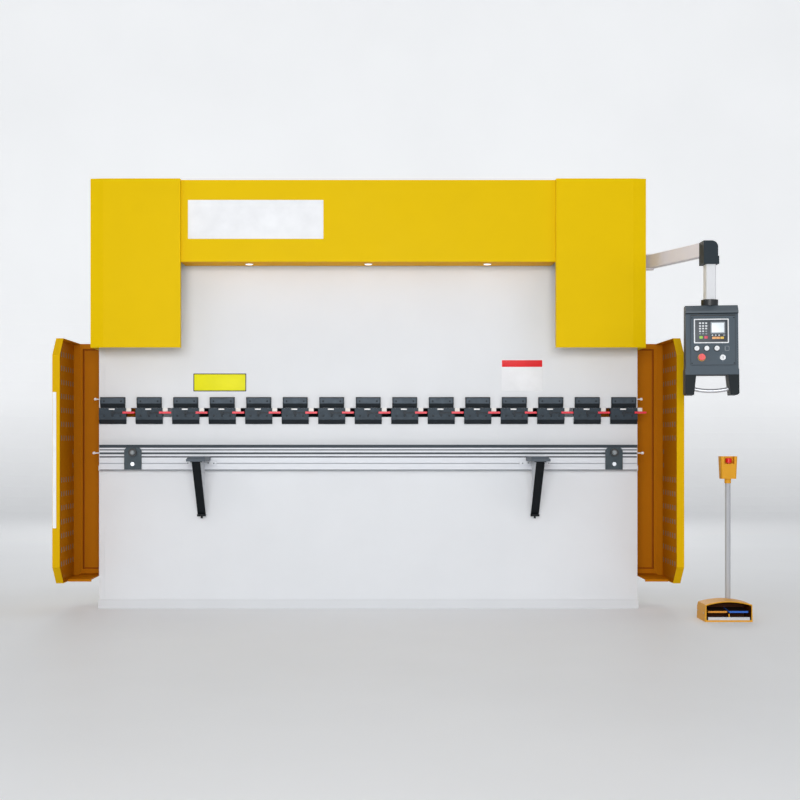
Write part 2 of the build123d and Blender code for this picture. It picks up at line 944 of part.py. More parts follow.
def make_cabinet():
    """Electrical cabinet on the right housing, with a raised cover."""
    outer_x = housing_outer + cabinet_width
    back_y = cabinet_y + cabinet_depth
    top = cabinet_bottom + cabinet_height
    body = box((housing_outer, outer_x), (cabinet_y, back_y), (cabinet_bottom, top))
    with BuildPart() as cabinet:
        add(body)
        fillet(cabinet.edges().filter_by(Axis.Z).group_by(Axis.X)[-1], cabinet_corner)
        with BuildSketch(Plane.YZ.offset(outer_x)):
            with Locations(((cabinet_y + back_y) / 2, cabinet_bottom + cabinet_height / 2)):
                door_size = (cabinet_depth - 2 * cabinet_door_margin, cabinet_height - 2 * cabinet_door_margin)
                RectangleRounded(*door_size, cabinet_door_raise)
        extrude(amount=cabinet_door_raise)
    save(cabinet.part, "electrical_cabinet")


# ---- Punch clamps ----
def make_clamps():
    """Holders with wedges, jaws and quick-clamp levers along the ram's lower edge."""
    top = ram_bottom + holder_height
    bevel_y = clamp_face + clamp_bevel_depth
    top_bevel = clamp_bevel_depth / 2
    holder_outline = [
        (bed_face, top),
        (clamp_face + top_bevel, top),
        (clamp_face, top - top_bevel),
        (clamp_face, ram_bottom + clamp_bevel),
        (bevel_y, ram_bottom),
        (bridge_y, ram_bottom),
        (bridge_y, ram_bottom - bridge_thickness),
        (tongue_front, ram_bottom - bridge_thickness),
        (tongue_front, ram_bottom - tongue_drop),
        (bed_half, ram_bottom - tongue_drop),
        (bed_half, ram_bottom),
        (bed_face, ram_bottom),
    ]
    jaw_bottom = ram_bottom - jaw_drop
    jaw_back = tongue_front - tang_slot
    seat_z = wedge_bottom - 1.0
    lip_back = clamp_face + jaw_lip
    jaw_outline = [
        (jaw_back, seat_z),
        (jaw_back, jaw_bottom),
        (bevel_y, jaw_bottom),
        (clamp_face, jaw_bottom + clamp_bevel),
        (clamp_face, ram_bottom - slide_gap),
        (lip_back, ram_bottom - slide_gap),
        (lip_back, seat_z),
    ]
    holder = side_profile(holder_outline, -holder_width / 2, holder_width / 2)
    wedge_y = (lip_back, lip_back + wedge_depth)
    wedge = box((-holder_width / 2, jaw_width / 2 + wedge_overhang), wedge_y, (seat_z, wedge_top))
    with BuildPart() as jaw:
        add(side_profile(jaw_outline, -jaw_width / 2, jaw_width / 2))
        with BuildSketch(Plane.XZ.offset(-lip_back)):
            with Locations((wedge_window_x, ram_bottom - wedge_window_drop - wedge_window_height / 2)):
                Rectangle(wedge_window, wedge_window_height)
        extrude(amount=jaw_lip, mode=Mode.SUBTRACT)
        with BuildSketch(Plane.XZ.offset(-clamp_face)):
            with Locations((0, lever_z)):
                Circle(lever_pin / 2 + running_gap)
        extrude(amount=-(lever_pin_depth + 1), mode=Mode.SUBTRACT)
    holders = [holder.moved(place) for place in clamp_places]
    wedges = [wedge.moved(place) for place in clamp_places]
    save(group(*holders, *wedges), "clamp_holders")
    save(group(*[jaw.part.moved(place) for place in clamp_places]), "clamp_jaws")
    lever = make_lever()
    for number, place in enumerate(clamp_places, start=1):
        pieces = [solid.moved(place) for solid in lever]
        save(group(*pieces), f"clamp_lever_{number:02d}")


def make_lever():
    """Lever arm on its pivot pin, and the grip that covers its outer half."""
    back = clamp_face - slide_gap
    grip_bevel = 2.5
    arm_end = (grip_start + lever_length) / 2
    with BuildPart() as arm:
        with BuildSketch(Plane.XZ.offset(-back)):
            with Locations((0, lever_z)):
                Circle(lever_boss / 2)
        extrude(amount=lever_boss_height)
        with BuildSketch(Plane.XZ.offset(-back + 2)):
            with Locations((arm_end / 2, lever_z)):
                Rectangle(arm_end, lever_arm_width)
        extrude(amount=lever_boss_height - 4)
        with BuildSketch(Plane.XZ.offset(-back)):
            with Locations((0, lever_z)):
                Circle(lever_pin / 2)
        extrude(amount=-lever_pin_depth)
    with BuildPart() as grip:
        grip_z = (lever_z - grip_width / 2, lever_z + grip_width / 2)
        add(box((grip_start, lever_length), (back - grip_thickness, back), grip_z))
        chamfer(grip.faces().sort_by(Axis.X)[-1].edges(), grip_bevel)
        add(arm.part, mode=Mode.SUBTRACT)
    return [arm.part, grip.part]


# ---- Support rail and what rides on it ----
def make_rail():
    """Slotted extrusion along the bed's front, with a wider foot band."""
    half = bed_end - rail_set_back
    foot = half + rail_foot_overhang
    edge_y = rail_face + rail_edge
    outline = [
        (rail_face, rail_top),
        (bed_face, rail_top),
        (bed_face, rail_bottom),
        (edge_y, rail_bottom),
        (rail_face, rail_bottom + rail_edge),
    ]
    with BuildPart() as rail:
        add(side_profile(outline, -half, half))
        add(box((-foot, foot), (edge_y, bed_face), (rail_bottom, rail_bottom + rail_foot_height)))
        for centre, height in (*upper_slots, lower_slot):
            groove_y = (rail_face - 1, rail_face + slot_depth)
            groove = box((-foot - 1, foot + 1), groove_y, slot_limits(centre, height))
            add(groove, mode=Mode.SUBTRACT)
        for side in (-1, 1):
            add(make_stud(side * half, rail_face + 2 * stud_depth, rail_top - rail_stud_drop, side))
    save(rail.part, "support_rail")


def slot_limits(centre, height, gap=0.0):
    return (centre - height / 2 + gap, centre + height / 2 - gap)


def make_carriages():
    """Clamp plates on the rail with a key in the middle slot, and their knobs."""
    front = rail_face - slide_gap
    centre_z, height = upper_slots[1]
    for x, side in zip(carriage_x, ("left", "right")):
        with BuildPart() as plate:
            with BuildSketch(Plane.XZ.offset(-front)):
                with Locations((x, carriage_top - carriage_height / 2)):
                    Rectangle(carriage_width, carriage_height)
            extrude(amount=carriage_thickness)
            corners = plate.edges().filter_by(Axis.Y).group_by(Axis.Z)[-1]
            fillet(corners, carriage_corner)
            with BuildSketch(Plane.XZ.offset(-front)):
                with Locations((x, centre_z)):
                    Rectangle(carriage_key_length, height - 2 * slide_gap)
            extrude(amount=-(slot_depth - key_end_gap))
            with BuildSketch(Plane.XZ.offset(-front + carriage_thickness)):
                with Locations((x, knob_z)):
                    Circle(knob_stem / 2 + running_gap)
            extrude(amount=-carriage_thickness + 1, mode=Mode.SUBTRACT)
        with BuildPart() as bolt:
            with BuildSketch(Plane.XZ.offset(-front + carriage_thickness)):
                with Locations((x, clamp_bolt_z)):
                    Circle(clamp_bolt_diameter / 2)
            extrude(amount=clamp_bolt_height)
        save(group(plate.part, bolt.part), f"rail_carriage_{side}")
        save(make_knob(x, front - carriage_thickness - slide_gap), f"carriage_knob_{side}")


def make_knob(x, back):
    """Clamp knob: a broad ring, a bevelled cap and the screw stem behind it."""
    with BuildPart() as knob:
        with BuildSketch(Plane.XZ.offset(-back)):
            with Locations((x, knob_z)):
                Circle(knob_stem / 2)
        extrude(amount=-(carriage_thickness - 3))
        with BuildSketch(Plane.XZ.offset(-back)):
            with Locations((x, knob_z)):
                Circle(knob_diameter / 2)
        extrude(amount=knob_height)
        with BuildSketch(Plane.XZ.offset(-back + knob_height)):
            with Locations((x, knob_z)):
                Circle(knob_cap / 2)
        extrude(amount=knob_cap_height)
        chamfer(knob.faces().sort_by(Axis.Y)[0].edges(), knob_cap_height / 2)
    return knob.part


def make_arms():
    """Front sheet supports: table, folded web, sloping flange, foot pad and the slider in the lower slot."""
    front = rail_face - slide_gap
    tip = rail_face - arm_reach
    low = arm_table_top - arm_table_thickness
    slot_z, slot_height = lower_slot
    toe_y = rail_face + arm_toe_set_back
    rear = rail_face - arm_toe_set_back
    start = (tip - arm_table_nose, low - arm_gusset)
    end = (toe_y, arm_toe_z)
    run = math.dist(start, end)
    thick = arm_flange_thickness
    normal = ((start[1] - end[1]) / run, (end[0] - start[0]) / run)
    inner_start = (start[0] + normal[0] * thick, start[1] + normal[1] * thick)
    inner_end = (end[0] + normal[0] * thick, end[1] + normal[1] * thick)
    fall = (inner_start[1] - inner_end[1]) / (inner_end[0] - inner_start[0])
    web_low = inner_end[1] + (inner_end[0] - rear) * fall
    web_outline = [
        (front, low),
        (front, rail_bottom),
        (rear, rail_bottom),
        (rear, web_low),
        inner_start,
        (inner_start[0], low),
    ]
    pad_y = (rear - arm_pad_height, toe_y + thick)
    for side, name in ((-1, "support_arm_left"), (1, "support_arm_right")):
        x = side * arm_x
        cheeks = []
        for wall in (-1, 1):
            edge = x + wall * arm_web_width / 2
            limits = sorted((edge, edge - wall * arm_web_sheet))
            cheeks.append(side_profile(web_outline, *limits))
        with BuildPart() as table:
            with BuildSketch(Plane.XY.offset(low)):
                Polygon(
                    (x - side * arm_table_inner, front),
                    (x - side * arm_table_inner, tip - arm_table_nose),
                    (x + side * arm_table_front, tip - arm_table_nose),
                    (x + side * arm_table_rear, front),
                    align=None,
                )
            extrude(amount=arm_table_thickness)
            edges = table.faces().sort_by(Axis.Z)[-1].edges()
            outside = 1 - arm_table_inner
            sloped = [e for e in edges if e.center().Y < front - 1 and side * (e.center().X - x) > outside]
            chamfer(sloped, arm_table_bevel)
            gusset = [inner_start, (inner_start[0], low), (inner_start[0] + 2 * arm_gusset, low)]
            half = arm_flange_width / 2 + arm_gusset
            add(side_profile(gusset, x - half, x + half))
            for cheek in cheeks:
                add(cheek, mode=Mode.SUBTRACT)
        with BuildPart() as flange:
            half = arm_flange_width / 2
            add(side_profile([start, end, inner_end, inner_start], x - half, x + half))
            half = arm_pad_width / 2
            add(box((x - half, x + half), pad_y, (arm_toe_z, arm_toe_z + arm_pad_height)))
            with BuildSketch(Plane.XY.offset(arm_toe_z)):
                with Locations((x, (pad_y[0] + pad_y[1]) / 2)):
                    Circle(arm_pin / 2)
            extrude(amount=-arm_pin_drop)
            for cheek in cheeks:
                add(cheek, mode=Mode.SUBTRACT)
        with BuildPart() as slider:
            half = arm_slider_width / 2
            slider_top = low - 1
            back = front - arm_slider_thickness
            add(box((x - half, x + half), (back, front), (slider_top - arm_slider_height, slider_top)))
            key = slot_limits(slot_z, slot_height, slide_gap)
            add(box((x - half, x + half), (front, front + slot_depth - key_end_gap), key))
            for cheek in cheeks:
                add(cheek, mode=Mode.SUBTRACT)
        save(group(table.part, *cheeks, flange.part, slider.part), name)


# ---- Side guards ----
def guard_outline(inset=0.0):
    """Door outline in (Y, Z), drawn in by the sheet's thickness where asked."""
    cut = inset * math.tan(math.radians(22.5))
    front = guard_front + inset
    rear = guard_rear - inset
    low = guard_bottom + inset
    high = guard_top - inset
    return [
        (rear, low),
        (guard_front + guard_corner_y + cut, low),
        (front, guard_bottom + guard_corner_z + cut),
        (front, guard_top - guard_corner_z - cut),
        (guard_front + guard_corner_y + cut, high),
        (rear, high),
    ]


def vent_places():
    """Centres of the vent slots; the two blank rows keep only their rearmost slot."""
    places = []
    for row in range(vent_rows):
        for column in range(vent_columns):
            if row in blank_rows and column > 0:
                continue
            y = vent_rear_y - column * vent_column_pitch
            places.append((y, vent_first_z + row * vent_row_pitch))
    return places


def hinge_part(low, high, radius):
    """Upright cylinder on the guard's hinge line."""
    with BuildPart() as knuckle:
        with BuildSketch(Plane.XY.offset(low)):
            with Locations((guard_outer + hinge_radius, guard_rear + 1)):
                Circle(radius)
        extrude(amount=high - low)
    return knuckle.part


def make_door():
    """Vented door: a shallow pan open towards the machine, with its hinge knuckles."""
    with BuildPart() as door:
        with BuildSketch(Plane.YZ.offset(guard_outer - guard_flange)):
            Polygon(*guard_outline(), align=None)
        extrude(amount=guard_flange)
        with BuildSketch(Plane.YZ.offset(guard_outer - guard_flange)):
            Polygon(*guard_outline(guard_sheet), align=None)
        extrude(amount=guard_flange - guard_sheet, mode=Mode.SUBTRACT)
        with BuildSketch(Plane.YZ.offset(guard_outer - 2 * guard_sheet)):
            with Locations(*vent_places()):
                Rectangle(vent_width, vent_height)
        extrude(amount=3 * guard_sheet, mode=Mode.SUBTRACT)
        for z in hinge_heights:
            half = hinge_knuckle / 2
            leaf_x = (guard_outer, guard_outer + guard_sheet)
            add(box(leaf_x, (guard_rear - 38, guard_rear + 1), (z - half, z + half)))
            add(hinge_part(z - half, z + half, hinge_radius))
            add(hinge_part(z - half - 1, z + half + 1, hinge_pin / 2 + running_gap), mode=Mode.SUBTRACT)
    return door.part


def make_guard_frame():
    """Fixed rear panel with a recessed field, outer post, bottom shelf and hinge halves."""
    rear = guard_rear + 2
    post_inner = guard_outer - guard_post_width
    field_low = guard_bottom + guard_band + panel_foot_margin
    field_high = guard_top - guard_band
    with BuildPart() as frame:
        panel_y = (rear, rear + guard_panel_thickness)
        add(box((housing_outer, guard_outer), panel_y, (guard_bottom, guard_top)))
        add(box((post_inner, guard_outer), (rear, rear + guard_post_depth), (guard_bottom, guard_top)))
        recess = (rear, rear + guard_recess)
        field_x = (housing_outer + panel_inner_margin, post_inner - panel_post_margin)
        add(box(field_x, recess, (field_low, field_high)), mode=Mode.SUBTRACT)
        cut_y = (rear - 1, rear + guard_post_depth + 1)
        under_cover = (side_cover_bottom - notch_gap, guard_top + 1)
        add(box((housing_outer - 1, cover_outer + notch_gap), cut_y, under_cover), mode=Mode.SUBTRACT)
        guide_edge = housing_x + guide_width / 2 + notch_gap
        beside_guide = (throat_roof - notch_gap, guard_top + 1)
        add(box((housing_outer - 1, guide_edge), cut_y, beside_guide), mode=Mode.SUBTRACT)
        shelf_x = (bed_end + shelf_bed_gap, guard_outer - guard_flange - shelf_flange_gap)
        shelf_y = (guard_shelf_front, rear)
        add(box(shelf_x, shelf_y, (guard_shelf_z, guard_shelf_z + cover_sheet)))
        lip_y = (guard_shelf_front, guard_shelf_front + cover_sheet)
        add(box(shelf_x, lip_y, (guard_shelf_z - shelf_lip, guard_shelf_z + cover_sheet)))
        for z in hinge_heights:
            half = hinge_knuckle / 2
            for low, high in ((z - 2 * half, z - half - slide_gap), (z + half + slide_gap, z + 2 * half)):
                add(hinge_part(low, high, hinge_radius))
                leaf_x = (guard_outer, guard_outer + guard_sheet)
                add(box(leaf_x, (guard_rear + 1, rear + hinge_leaf), (low, high)))
            add(hinge_part(z - 2 * half, z + 2 * half, hinge_pin / 2))
    return frame.part


def make_rear_guard():
    """Folded sheet across the backs of both housings, closing the space behind the gauge."""
    face = bed_half + housing_depth
    fold = face + rear_guard_fold
    inner = face + cover_sheet
    low = rear_guard_bottom
    high = rear_guard_top
    outline = [
        (face, low),
        (fold, low),
        (fold, low + cover_sheet),
        (inner, low + cover_sheet),
        (inner, high - cover_sheet),
        (fold, high - cover_sheet),
        (fold, high),
        (face, high),
    ]
    return side_profile(outline, -housing_outer, housing_outer)


def make_guards():
    door = make_door()
    save(door, "guard_door_right")
    save(door.mirror(Plane.YZ), "guard_door_left")
    frame = make_guard_frame()
    save(group(frame, frame.mirror(Plane.YZ), make_rear_guard()), "guard_frames")


# ---- Back gauge ----
def make_gauge():
    """Linear guides on the housings, the cross beam on its trucks and two stop fingers."""
    low = gauge_guide_top - guide_rail_size
    y = (guide_rail_front, guide_rail_front + guide_rail_length)
    guides = []
    for side in (-1, 1):
        inner = housing_inner - guide_rail_size
        x = (inner, housing_inner) if side > 0 else (-housing_inner, -inner)
        crest = gauge_guide_top - guide_crest
        with BuildPart() as guide:
            add(box(x, y, (low, crest)))
            centre = side * (inner + guide_rail_size / 2)
            add(box((centre - guide_crest_half, centre + guide_crest_half), y, (crest, gauge_guide_top)))
        guides.append(guide.part)
    save(group(*guides), "gauge_guides")
    beam_front = guide_rail_front + gauge_beam_set_back
    beam_y = (beam_front, beam_front + gauge_beam_size)
    beam_z = gauge_guide_top + slide_gap
    half = housing_inner - slide_gap - 5
    with BuildPart() as beam:
        add(box((-half, half), beam_y, (beam_z + gauge_truck_height, beam_z + gauge_beam_size)))
        for side in (-1, 1):
            centre = side * (housing_inner - guide_rail_size / 2)
            truck = guide_crest_half + truck_wall + slide_gap
            truck_y = (guide_rail_front, guide_rail_front + gauge_truck_length)
            add(box((centre - truck, centre + truck), truck_y, (beam_z, beam_z + gauge_truck_height)))
            for wall in (-1, 1):
                edge = centre + wall * (guide_crest_half + slide_gap)
                limits = sorted((edge, edge + wall * truck_wall))
                add(box(limits, truck_y, (beam_z - guide_crest + 2, beam_z)))
    save(beam.part, "gauge_beam")
    top = beam_z + gauge_beam_size
    gap = slide_gap
    hook = gauge_beam_size / 2
    outline = [
        (beam_y[1] + gap, top + gap),
        (beam_y[1] + gap, top - hook),
        (beam_y[1] + finger_plate, top - hook),
        (beam_y[1] + finger_plate, top + finger_plate),
        (finger_tip_y, top + finger_plate),
        (finger_tip_y, top + finger_plate - finger_nose),
        (finger_tip_y + finger_width, top + finger_plate - finger_nose - 10),
        (beam_y[0] - finger_width, top - hook),
        (beam_y[0] - gap, top - gauge_beam_size + gauge_truck_height + gap),
        (beam_y[0] - gap, top + gap),
    ]
    for side, name in ((-1, "gauge_finger_left"), (1, "gauge_finger_right")):
        x = side * finger_x
        save(side_profile(outline, x - finger_width / 2, x + finger_width / 2), name)


# ---- Pendant ----
def make_pendant_bracket():
    """Fork on the right cover's side that holds the pendant arm's pivot pin."""
    x, y = pendant_pivot
    side = cover_outer
    low = arm_tube_z - arm_tube_height / 2 - slide_gap
    high = arm_tube_z + arm_tube_height / 2 + slide_gap
    plate_y = (y - fork_plate_half, y + fork_plate_half)
    with BuildPart() as bracket:
        add(box((side, side + fork_plate), plate_y, (low - fork_pin, high + fork_pin)))
        for z in (low - fork_lug, high):
            with BuildSketch(Plane.XY.offset(z)):
                with Locations(((side + x) / 2, y)):
                    Rectangle(x - side, fork_width)
                with Locations((x, y)):
                    Circle(fork_width / 2)
            extrude(amount=fork_lug)
        with BuildSketch(Plane.XY.offset(low - fork_lug)):
            with Locations((x, y)):
                Circle(fork_pin / 2)
        extrude(amount=high - low + 2 * fork_lug)
    save(bracket.part, "pendant_bracket")


def make_pendant_arm():
    """Arm tube on its hub, the moulded elbow and the drop tube that carries the box."""
    px, py = pendant_pivot
    ax, ay = pendant_axis
    low = arm_tube_z - arm_tube_height / 2
    along = Plane(origin=(px, py, low), x_dir=(ax - px, ay - py, 0), z_dir=(0, 0, 1))
    reach = math.dist(pendant_pivot, pendant_axis) - elbow_depth / 2
    with BuildPart() as tube:
        with BuildSketch(along):
            with Locations((reach / 2, 0)):
                Rectangle(reach, arm_tube_width)
            Circle(arm_tube_width / 2)
            Circle(fork_pin / 2 + running_gap, mode=Mode.SUBTRACT)
        extrude(amount=arm_tube_height)
    left = ax - elbow_left
    right = ax + elbow_right
    collar_top = elbow_bottom + collar_height
    round_low = elbow_top - elbow_radius
    with BuildPart() as elbow:
        with BuildSketch(Plane.XZ.offset(-ay - elbow_depth / 2)):
            with BuildLine():
                collar_right = ax + collar_half
                Polyline((left, elbow_bottom), (collar_right, elbow_bottom), (collar_right, collar_top))
                Polyline((ax + collar_half, collar_top), (right, collar_top), (right, round_low))
                RadiusArc((right, round_low), (right - elbow_radius, elbow_top), -elbow_radius)
                Polyline((right - elbow_radius, elbow_top), (left, elbow_top), (left, elbow_bottom))
            make_face()
        extrude(amount=elbow_depth)
        add(tube.part, mode=Mode.SUBTRACT)
    with BuildPart() as drop:
        with BuildSketch(Plane.XY.offset(drop_bottom)):
            with Locations((ax, ay)):
                RectangleRounded(drop_width, drop_depth, drop_corner)
                Circle(neck_stem / 2 + running_gap, mode=Mode.SUBTRACT)
        extrude(amount=elbow_bottom - drop_bottom)
    save(group(tube.part, elbow.part, drop.part), "pendant_arm")


def on_pendant(part):
    """A part made about the swivel axis at X = Y = 0, set in its place and turned to the operator."""
    ax, ay = pendant_axis
    return part.moved(Location((ax, ay, 0), (0, 0, -box_turn)))


def front_y(z):
    """Y of the box's leaning front, about the swivel axis, at one height."""
    return -box_front - (box_top - z) * math.tan(math.radians(box_lean))


def panel_plane(lift=0.0):
    """Plane of the raised panel, lifted along its outward normal."""
    outward = (0, -cosd(box_lean), sind(box_lean))
    front = Plane(origin=(box_shift, front_y(panel_z), panel_z), x_dir=(1, 0, 0), z_dir=outward)
    return front.offset(panel_raise + lift)


def make_pendant_box():
    """Box with a hood, a leaning front, two legs, a raised panel, a bar handle and the swivel neck."""
    narrow = box_width / 2
    wide = box_base_width / 2
    hood_low = box_top - hood_drop
    hood_y = front_y(hood_low) - hood_overhang
    base_top = box_bottom + box_base_height
    flank = [
        (narrow, box_top),
        (narrow, base_top),
        (wide, base_top - leg_bevel),
        (wide, leg_bottom + leg_bevel),
        (wide - leg_bevel, leg_bottom),
        (wide - leg_width, leg_bottom),
        (wide - leg_root, box_bottom),
    ]
    outline = [(box_shift + x, z) for x, z in flank] + [(box_shift - x, z) for x, z in reversed(flank)]
    profile = [
        (box_back, leg_bottom),
        (box_back, box_top),
        (front_y(box_top) + hood_set_back, box_top),
        (hood_y, hood_low + 2 * hood_lip),
        (hood_y, hood_low + hood_lip / 2),
        (front_y(hood_low), hood_low),
        (front_y(leg_bottom), leg_bottom),
    ]
    with BuildPart() as body:
        add(side_profile(profile, box_shift - wide, box_shift + wide))
        with BuildSketch(Plane.XZ.offset(-box_back)):
            Polygon(*outline, align=None)
        extrude(amount=box_back - hood_y - front_y(leg_bottom), mode=Mode.INTERSECT)
        with BuildSketch(panel_plane()):
            with Locations((panel_shift, 0)):
                RectangleRounded(panel_width, panel_height, leg_bevel)
        extrude(amount=-panel_raise)
        with BuildSketch(panel_plane()):
            for name, place in control_places().items():
                with Locations(place):
                    Circle(stem_radius(name) + running_gap)
        extrude(amount=-well_depth, mode=Mode.SUBTRACT)
        with BuildSketch(Plane.XY.offset(box_top)):
            Circle(neck_diameter / 2)
        extrude(amount=drop_bottom - slide_gap - box_top)
        with BuildSketch(Plane.XY.offset(drop_bottom - slide_gap)):
            Circle(neck_stem / 2)
        extrude(amount=neck_stem_length)
    half = wide - leg_width + leg_bevel
    ends = leg_bottom + handle_lift
    y = (box_back + front_y(leg_bottom)) / 2
    with BuildPart() as handle:
        with BuildLine() as path:
            low = (box_shift, y, ends - handle_sag)
            ThreePointArc((box_shift - half, y, ends), low, (box_shift + half, y, ends))
        with BuildSketch(Plane(origin=path.line @ 0, z_dir=path.line % 0)):
            Circle(handle_diameter / 2)
        sweep()
        add(body.part, mode=Mode.SUBTRACT)
    save(group(on_pendant(body.part), on_pendant(handle.part)), "pendant_box")


def control_places():
    """Where each control stands on the panel: name, place across and place up."""
    return {
        "pendant_button_a": (button_places[0], button_row),
        "pendant_button_b": (button_places[1], button_row),
        "pendant_button_c": (button_places[2], button_row),
        "pendant_key": (key_place, low_row),
        "pendant_estop": (estop_place, low_row),
    }


def stem_radius(name):
    return estop_stem / 2 if name == "pendant_estop" else button_stem / 2


def make_controls():
    """Push buttons, key switch and stop mushroom, each with its stem in the panel."""
    for name, place in control_places().items():
        stop = name == "pendant_estop"
        key = name == "pendant_key"
        travel = estop_travel if stop else button_travel
        head = estop_diameter / 2 if stop else button_diameter / 2
        lift = slide_gap if key else slide_gap + travel
        height = estop_height if stop else button_height
        with BuildPart() as control:
            with BuildSketch(panel_plane(slide_gap - stem_depth)):
                with Locations(place):
                    Circle(stem_radius(name))
            extrude(amount=stem_depth + lift)
            with BuildSketch(panel_plane(lift)):
                with Locations(place):
                    Circle(head)
            extrude(amount=height)
            if key:
                with BuildSketch(panel_plane(lift + height)):
                    with Locations(place):
                        Rectangle(key_grip, button_stem)
                extrude(amount=button_height)
        save(on_pendant(control.part), name)


# ---- Foot switch ----
def make_pedal():
    """Hooded foot switch with a pole that carries a stop head."""
    half = pedal_width / 2
    back = pedal_front + pedal_depth
    shoulder = pedal_height - pedal_shoulder
    crown = pedal_height + pedal_crown - pedal_crown_set_down
    with BuildPart() as hood:
        with BuildSketch(Plane.XZ.offset(-back)):
            with BuildLine():
                Polyline(
                    (pedal_x - half, shoulder),
                    (pedal_x - half - pedal_flare, 0),
                    (pedal_x + half + pedal_flare, 0),
                    (pedal_x + half, shoulder),
                )
                ThreePointArc(
                    (pedal_x + half, shoulder),
                    (pedal_x, crown),
                    (pedal_x - half, shoulder),
                )
            make_face()
        extrude(amount=pedal_depth)
        chamfer(hood.faces().sort_by(Axis.Y)[-1].edges().sort_by(Axis.Z)[-1], pedal_back_bevel)
        with BuildSketch(Plane.XZ.offset(-back + pedal_rear_wall)):
            with BuildLine():
                inner = half - pedal_wall
                Polyline(
                    (pedal_x - inner, shoulder - pedal_wall),
                    (pedal_x - inner, pedal_base),
                    (pedal_x + inner, pedal_base),
                    (pedal_x + inner, shoulder - pedal_wall),
                )
                ThreePointArc(
                    (pedal_x + inner, shoulder - pedal_wall),
                    (pedal_x, crown - pedal_wall),
                    (pedal_x - inner, shoulder - pedal_wall),
                )
            make_face()
        extrude(amount=pedal_depth, mode=Mode.SUBTRACT)
    pin_y = back - pedal_rear_wall - treadle_pin_inset
    with BuildPart() as pin:
        with BuildSketch(Plane.YZ.offset(pedal_x - half + pedal_wall)):
            with Locations((pin_y, treadle_height)):
                Circle(treadle_pin / 2)
        extrude(amount=pedal_width - 2 * pedal_wall)
    with BuildPart() as step:
        step_half = half - pedal_step_inset
        front = pedal_front - 2
        step_z = (pedal_base, pedal_step_top)
        add(box((pedal_x - step_half, pedal_x + step_half), (front, front + pedal_step_depth), step_z))
        rib = (pedal_x - pedal_rib_width / 2, pedal_x + pedal_rib_width / 2)
        add(box(rib, (front, front + pedal_rib_depth), (pedal_base, pedal_rib_top)))
    pole_y = back - pole_inset
    crown_low = pedal_height - pole_root
    with BuildPart() as pole:
        with BuildSketch(Plane.XY.offset(crown_low)):
            with Locations((pole_x, pole_y)):
                Circle(pole_diameter / 2)
        extrude(amount=pole_top - crown_low)
        add(hood.part, mode=Mode.SUBTRACT)
    pole_solid = pole.part.solids().sort_by(Axis.Z)[-1]
    with BuildPart() as neck:
        with BuildSketch(Plane.XY.offset(pole_top)):
            with Locations((pole_x, pole_y)):
                Circle(pole_neck / 2)
        extrude(amount=head_bottom - pole_top)
    with BuildPart() as head:
        with BuildSketch(Plane.XY.offset(head_bottom)):
            with Locations((pole_x, pole_y)):
                RectangleRounded(head_width - head_taper[0], head_depth - head_taper[1], head_corner)
        with BuildSketch(Plane.XY.offset(head_top)):
            with Locations((pole_x, pole_y)):
                RectangleRounded(head_width, head_depth, head_corner)
        loft()
        notch_z = head_top - notch_depth
        notch_x = (pole_x - notch_width / 2, pole_x + notch_width / 2)
        add(box(notch_x, (pole_y - head_depth, pole_y), (notch_z, head_top + 1)), mode=Mode.SUBTRACT)
        with BuildSketch(Plane.XY.offset(notch_z)):
            with Locations((pole_x, pole_y - stop_set_forward)):
                Circle(stop_stem / 2 + running_gap)
        extrude(amount=-stop_well, mode=Mode.SUBTRACT)
    save(group(hood.part, pin.part, step.part, pole_solid, neck.part, head.part), "pedal_stand")
    make_treadles(pin_y)
    with BuildPart() as stop:
        with BuildSketch(Plane.XY.offset(notch_z - stop_stem_length)):
            with Locations((pole_x, pole_y - stop_set_forward)):
                Circle(stop_stem / 2)
        extrude(amount=stop_stem_length + estop_travel + slide_gap)
        with BuildSketch(Plane.XY.offset(notch_z + estop_travel + slide_gap)):
            with Locations((pole_x, pole_y - stop_set_forward)):
                Circle(stop_cap / 2)
        extrude(amount=stop_cap_height)
        chamfer(stop.faces().sort_by(Axis.Z)[-1].edges(), stop_bevel)
    save(stop.part, "pedal_estop")


def make_treadles(pin_y):
    """Two treadles side by side on the pin of the foot switch."""
    t = treadle_thickness
    tip = pin_y - treadle_depth
    bend = pin_y - treadle_bend
    outline = [
        (pin_y, treadle_height + t),
        (bend, treadle_height + t),
        (tip, treadle_height + treadle_tip_rise),
        (tip, treadle_height + treadle_tip_rise - t),
        (bend, treadle_height - t / 2),
        (pin_y, treadle_height - t),
    ]
    for side, name in ((-1, "treadle_left"), (1, "treadle_right")):
        x = pedal_x + side * treadle_spacing / 2
        low_x = x - treadle_width / 2
        with BuildPart() as treadle:
            add(side_profile(outline, low_x, low_x + treadle_width))
            with BuildSketch(Plane.YZ.offset(low_x)):
                with Locations((pin_y, treadle_height)):
                    Circle(t)
            extrude(amount=treadle_width)
            with BuildSketch(Plane.YZ.offset(low_x)):
                with Locations((pin_y, treadle_height)):
                    Circle(treadle_pin / 2 + running_gap)
            extrude(amount=treadle_width, mode=Mode.SUBTRACT)
        save(treadle.part, name)


make_bed()
make_feet()
make_ram()
make_housing(-1, "side_frame_left")
make_housing(1, "side_frame_right")
make_barrels()
make_rods()
make_torsion()
make_side_cover(-1, "side_cover_left")
make_side_cover(1, "side_cover_right")
make_top_cover()
make_lights()
make_tank()
make_pump()
make_cabinet()
make_clamps()
make_rail()
make_carriages()
make_arms()
make_guards()
make_gauge()
make_pendant_bracket()
make_pendant_arm()
make_pendant_box()
make_controls()
make_pedal()
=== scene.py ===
import json
from types import SimpleNamespace

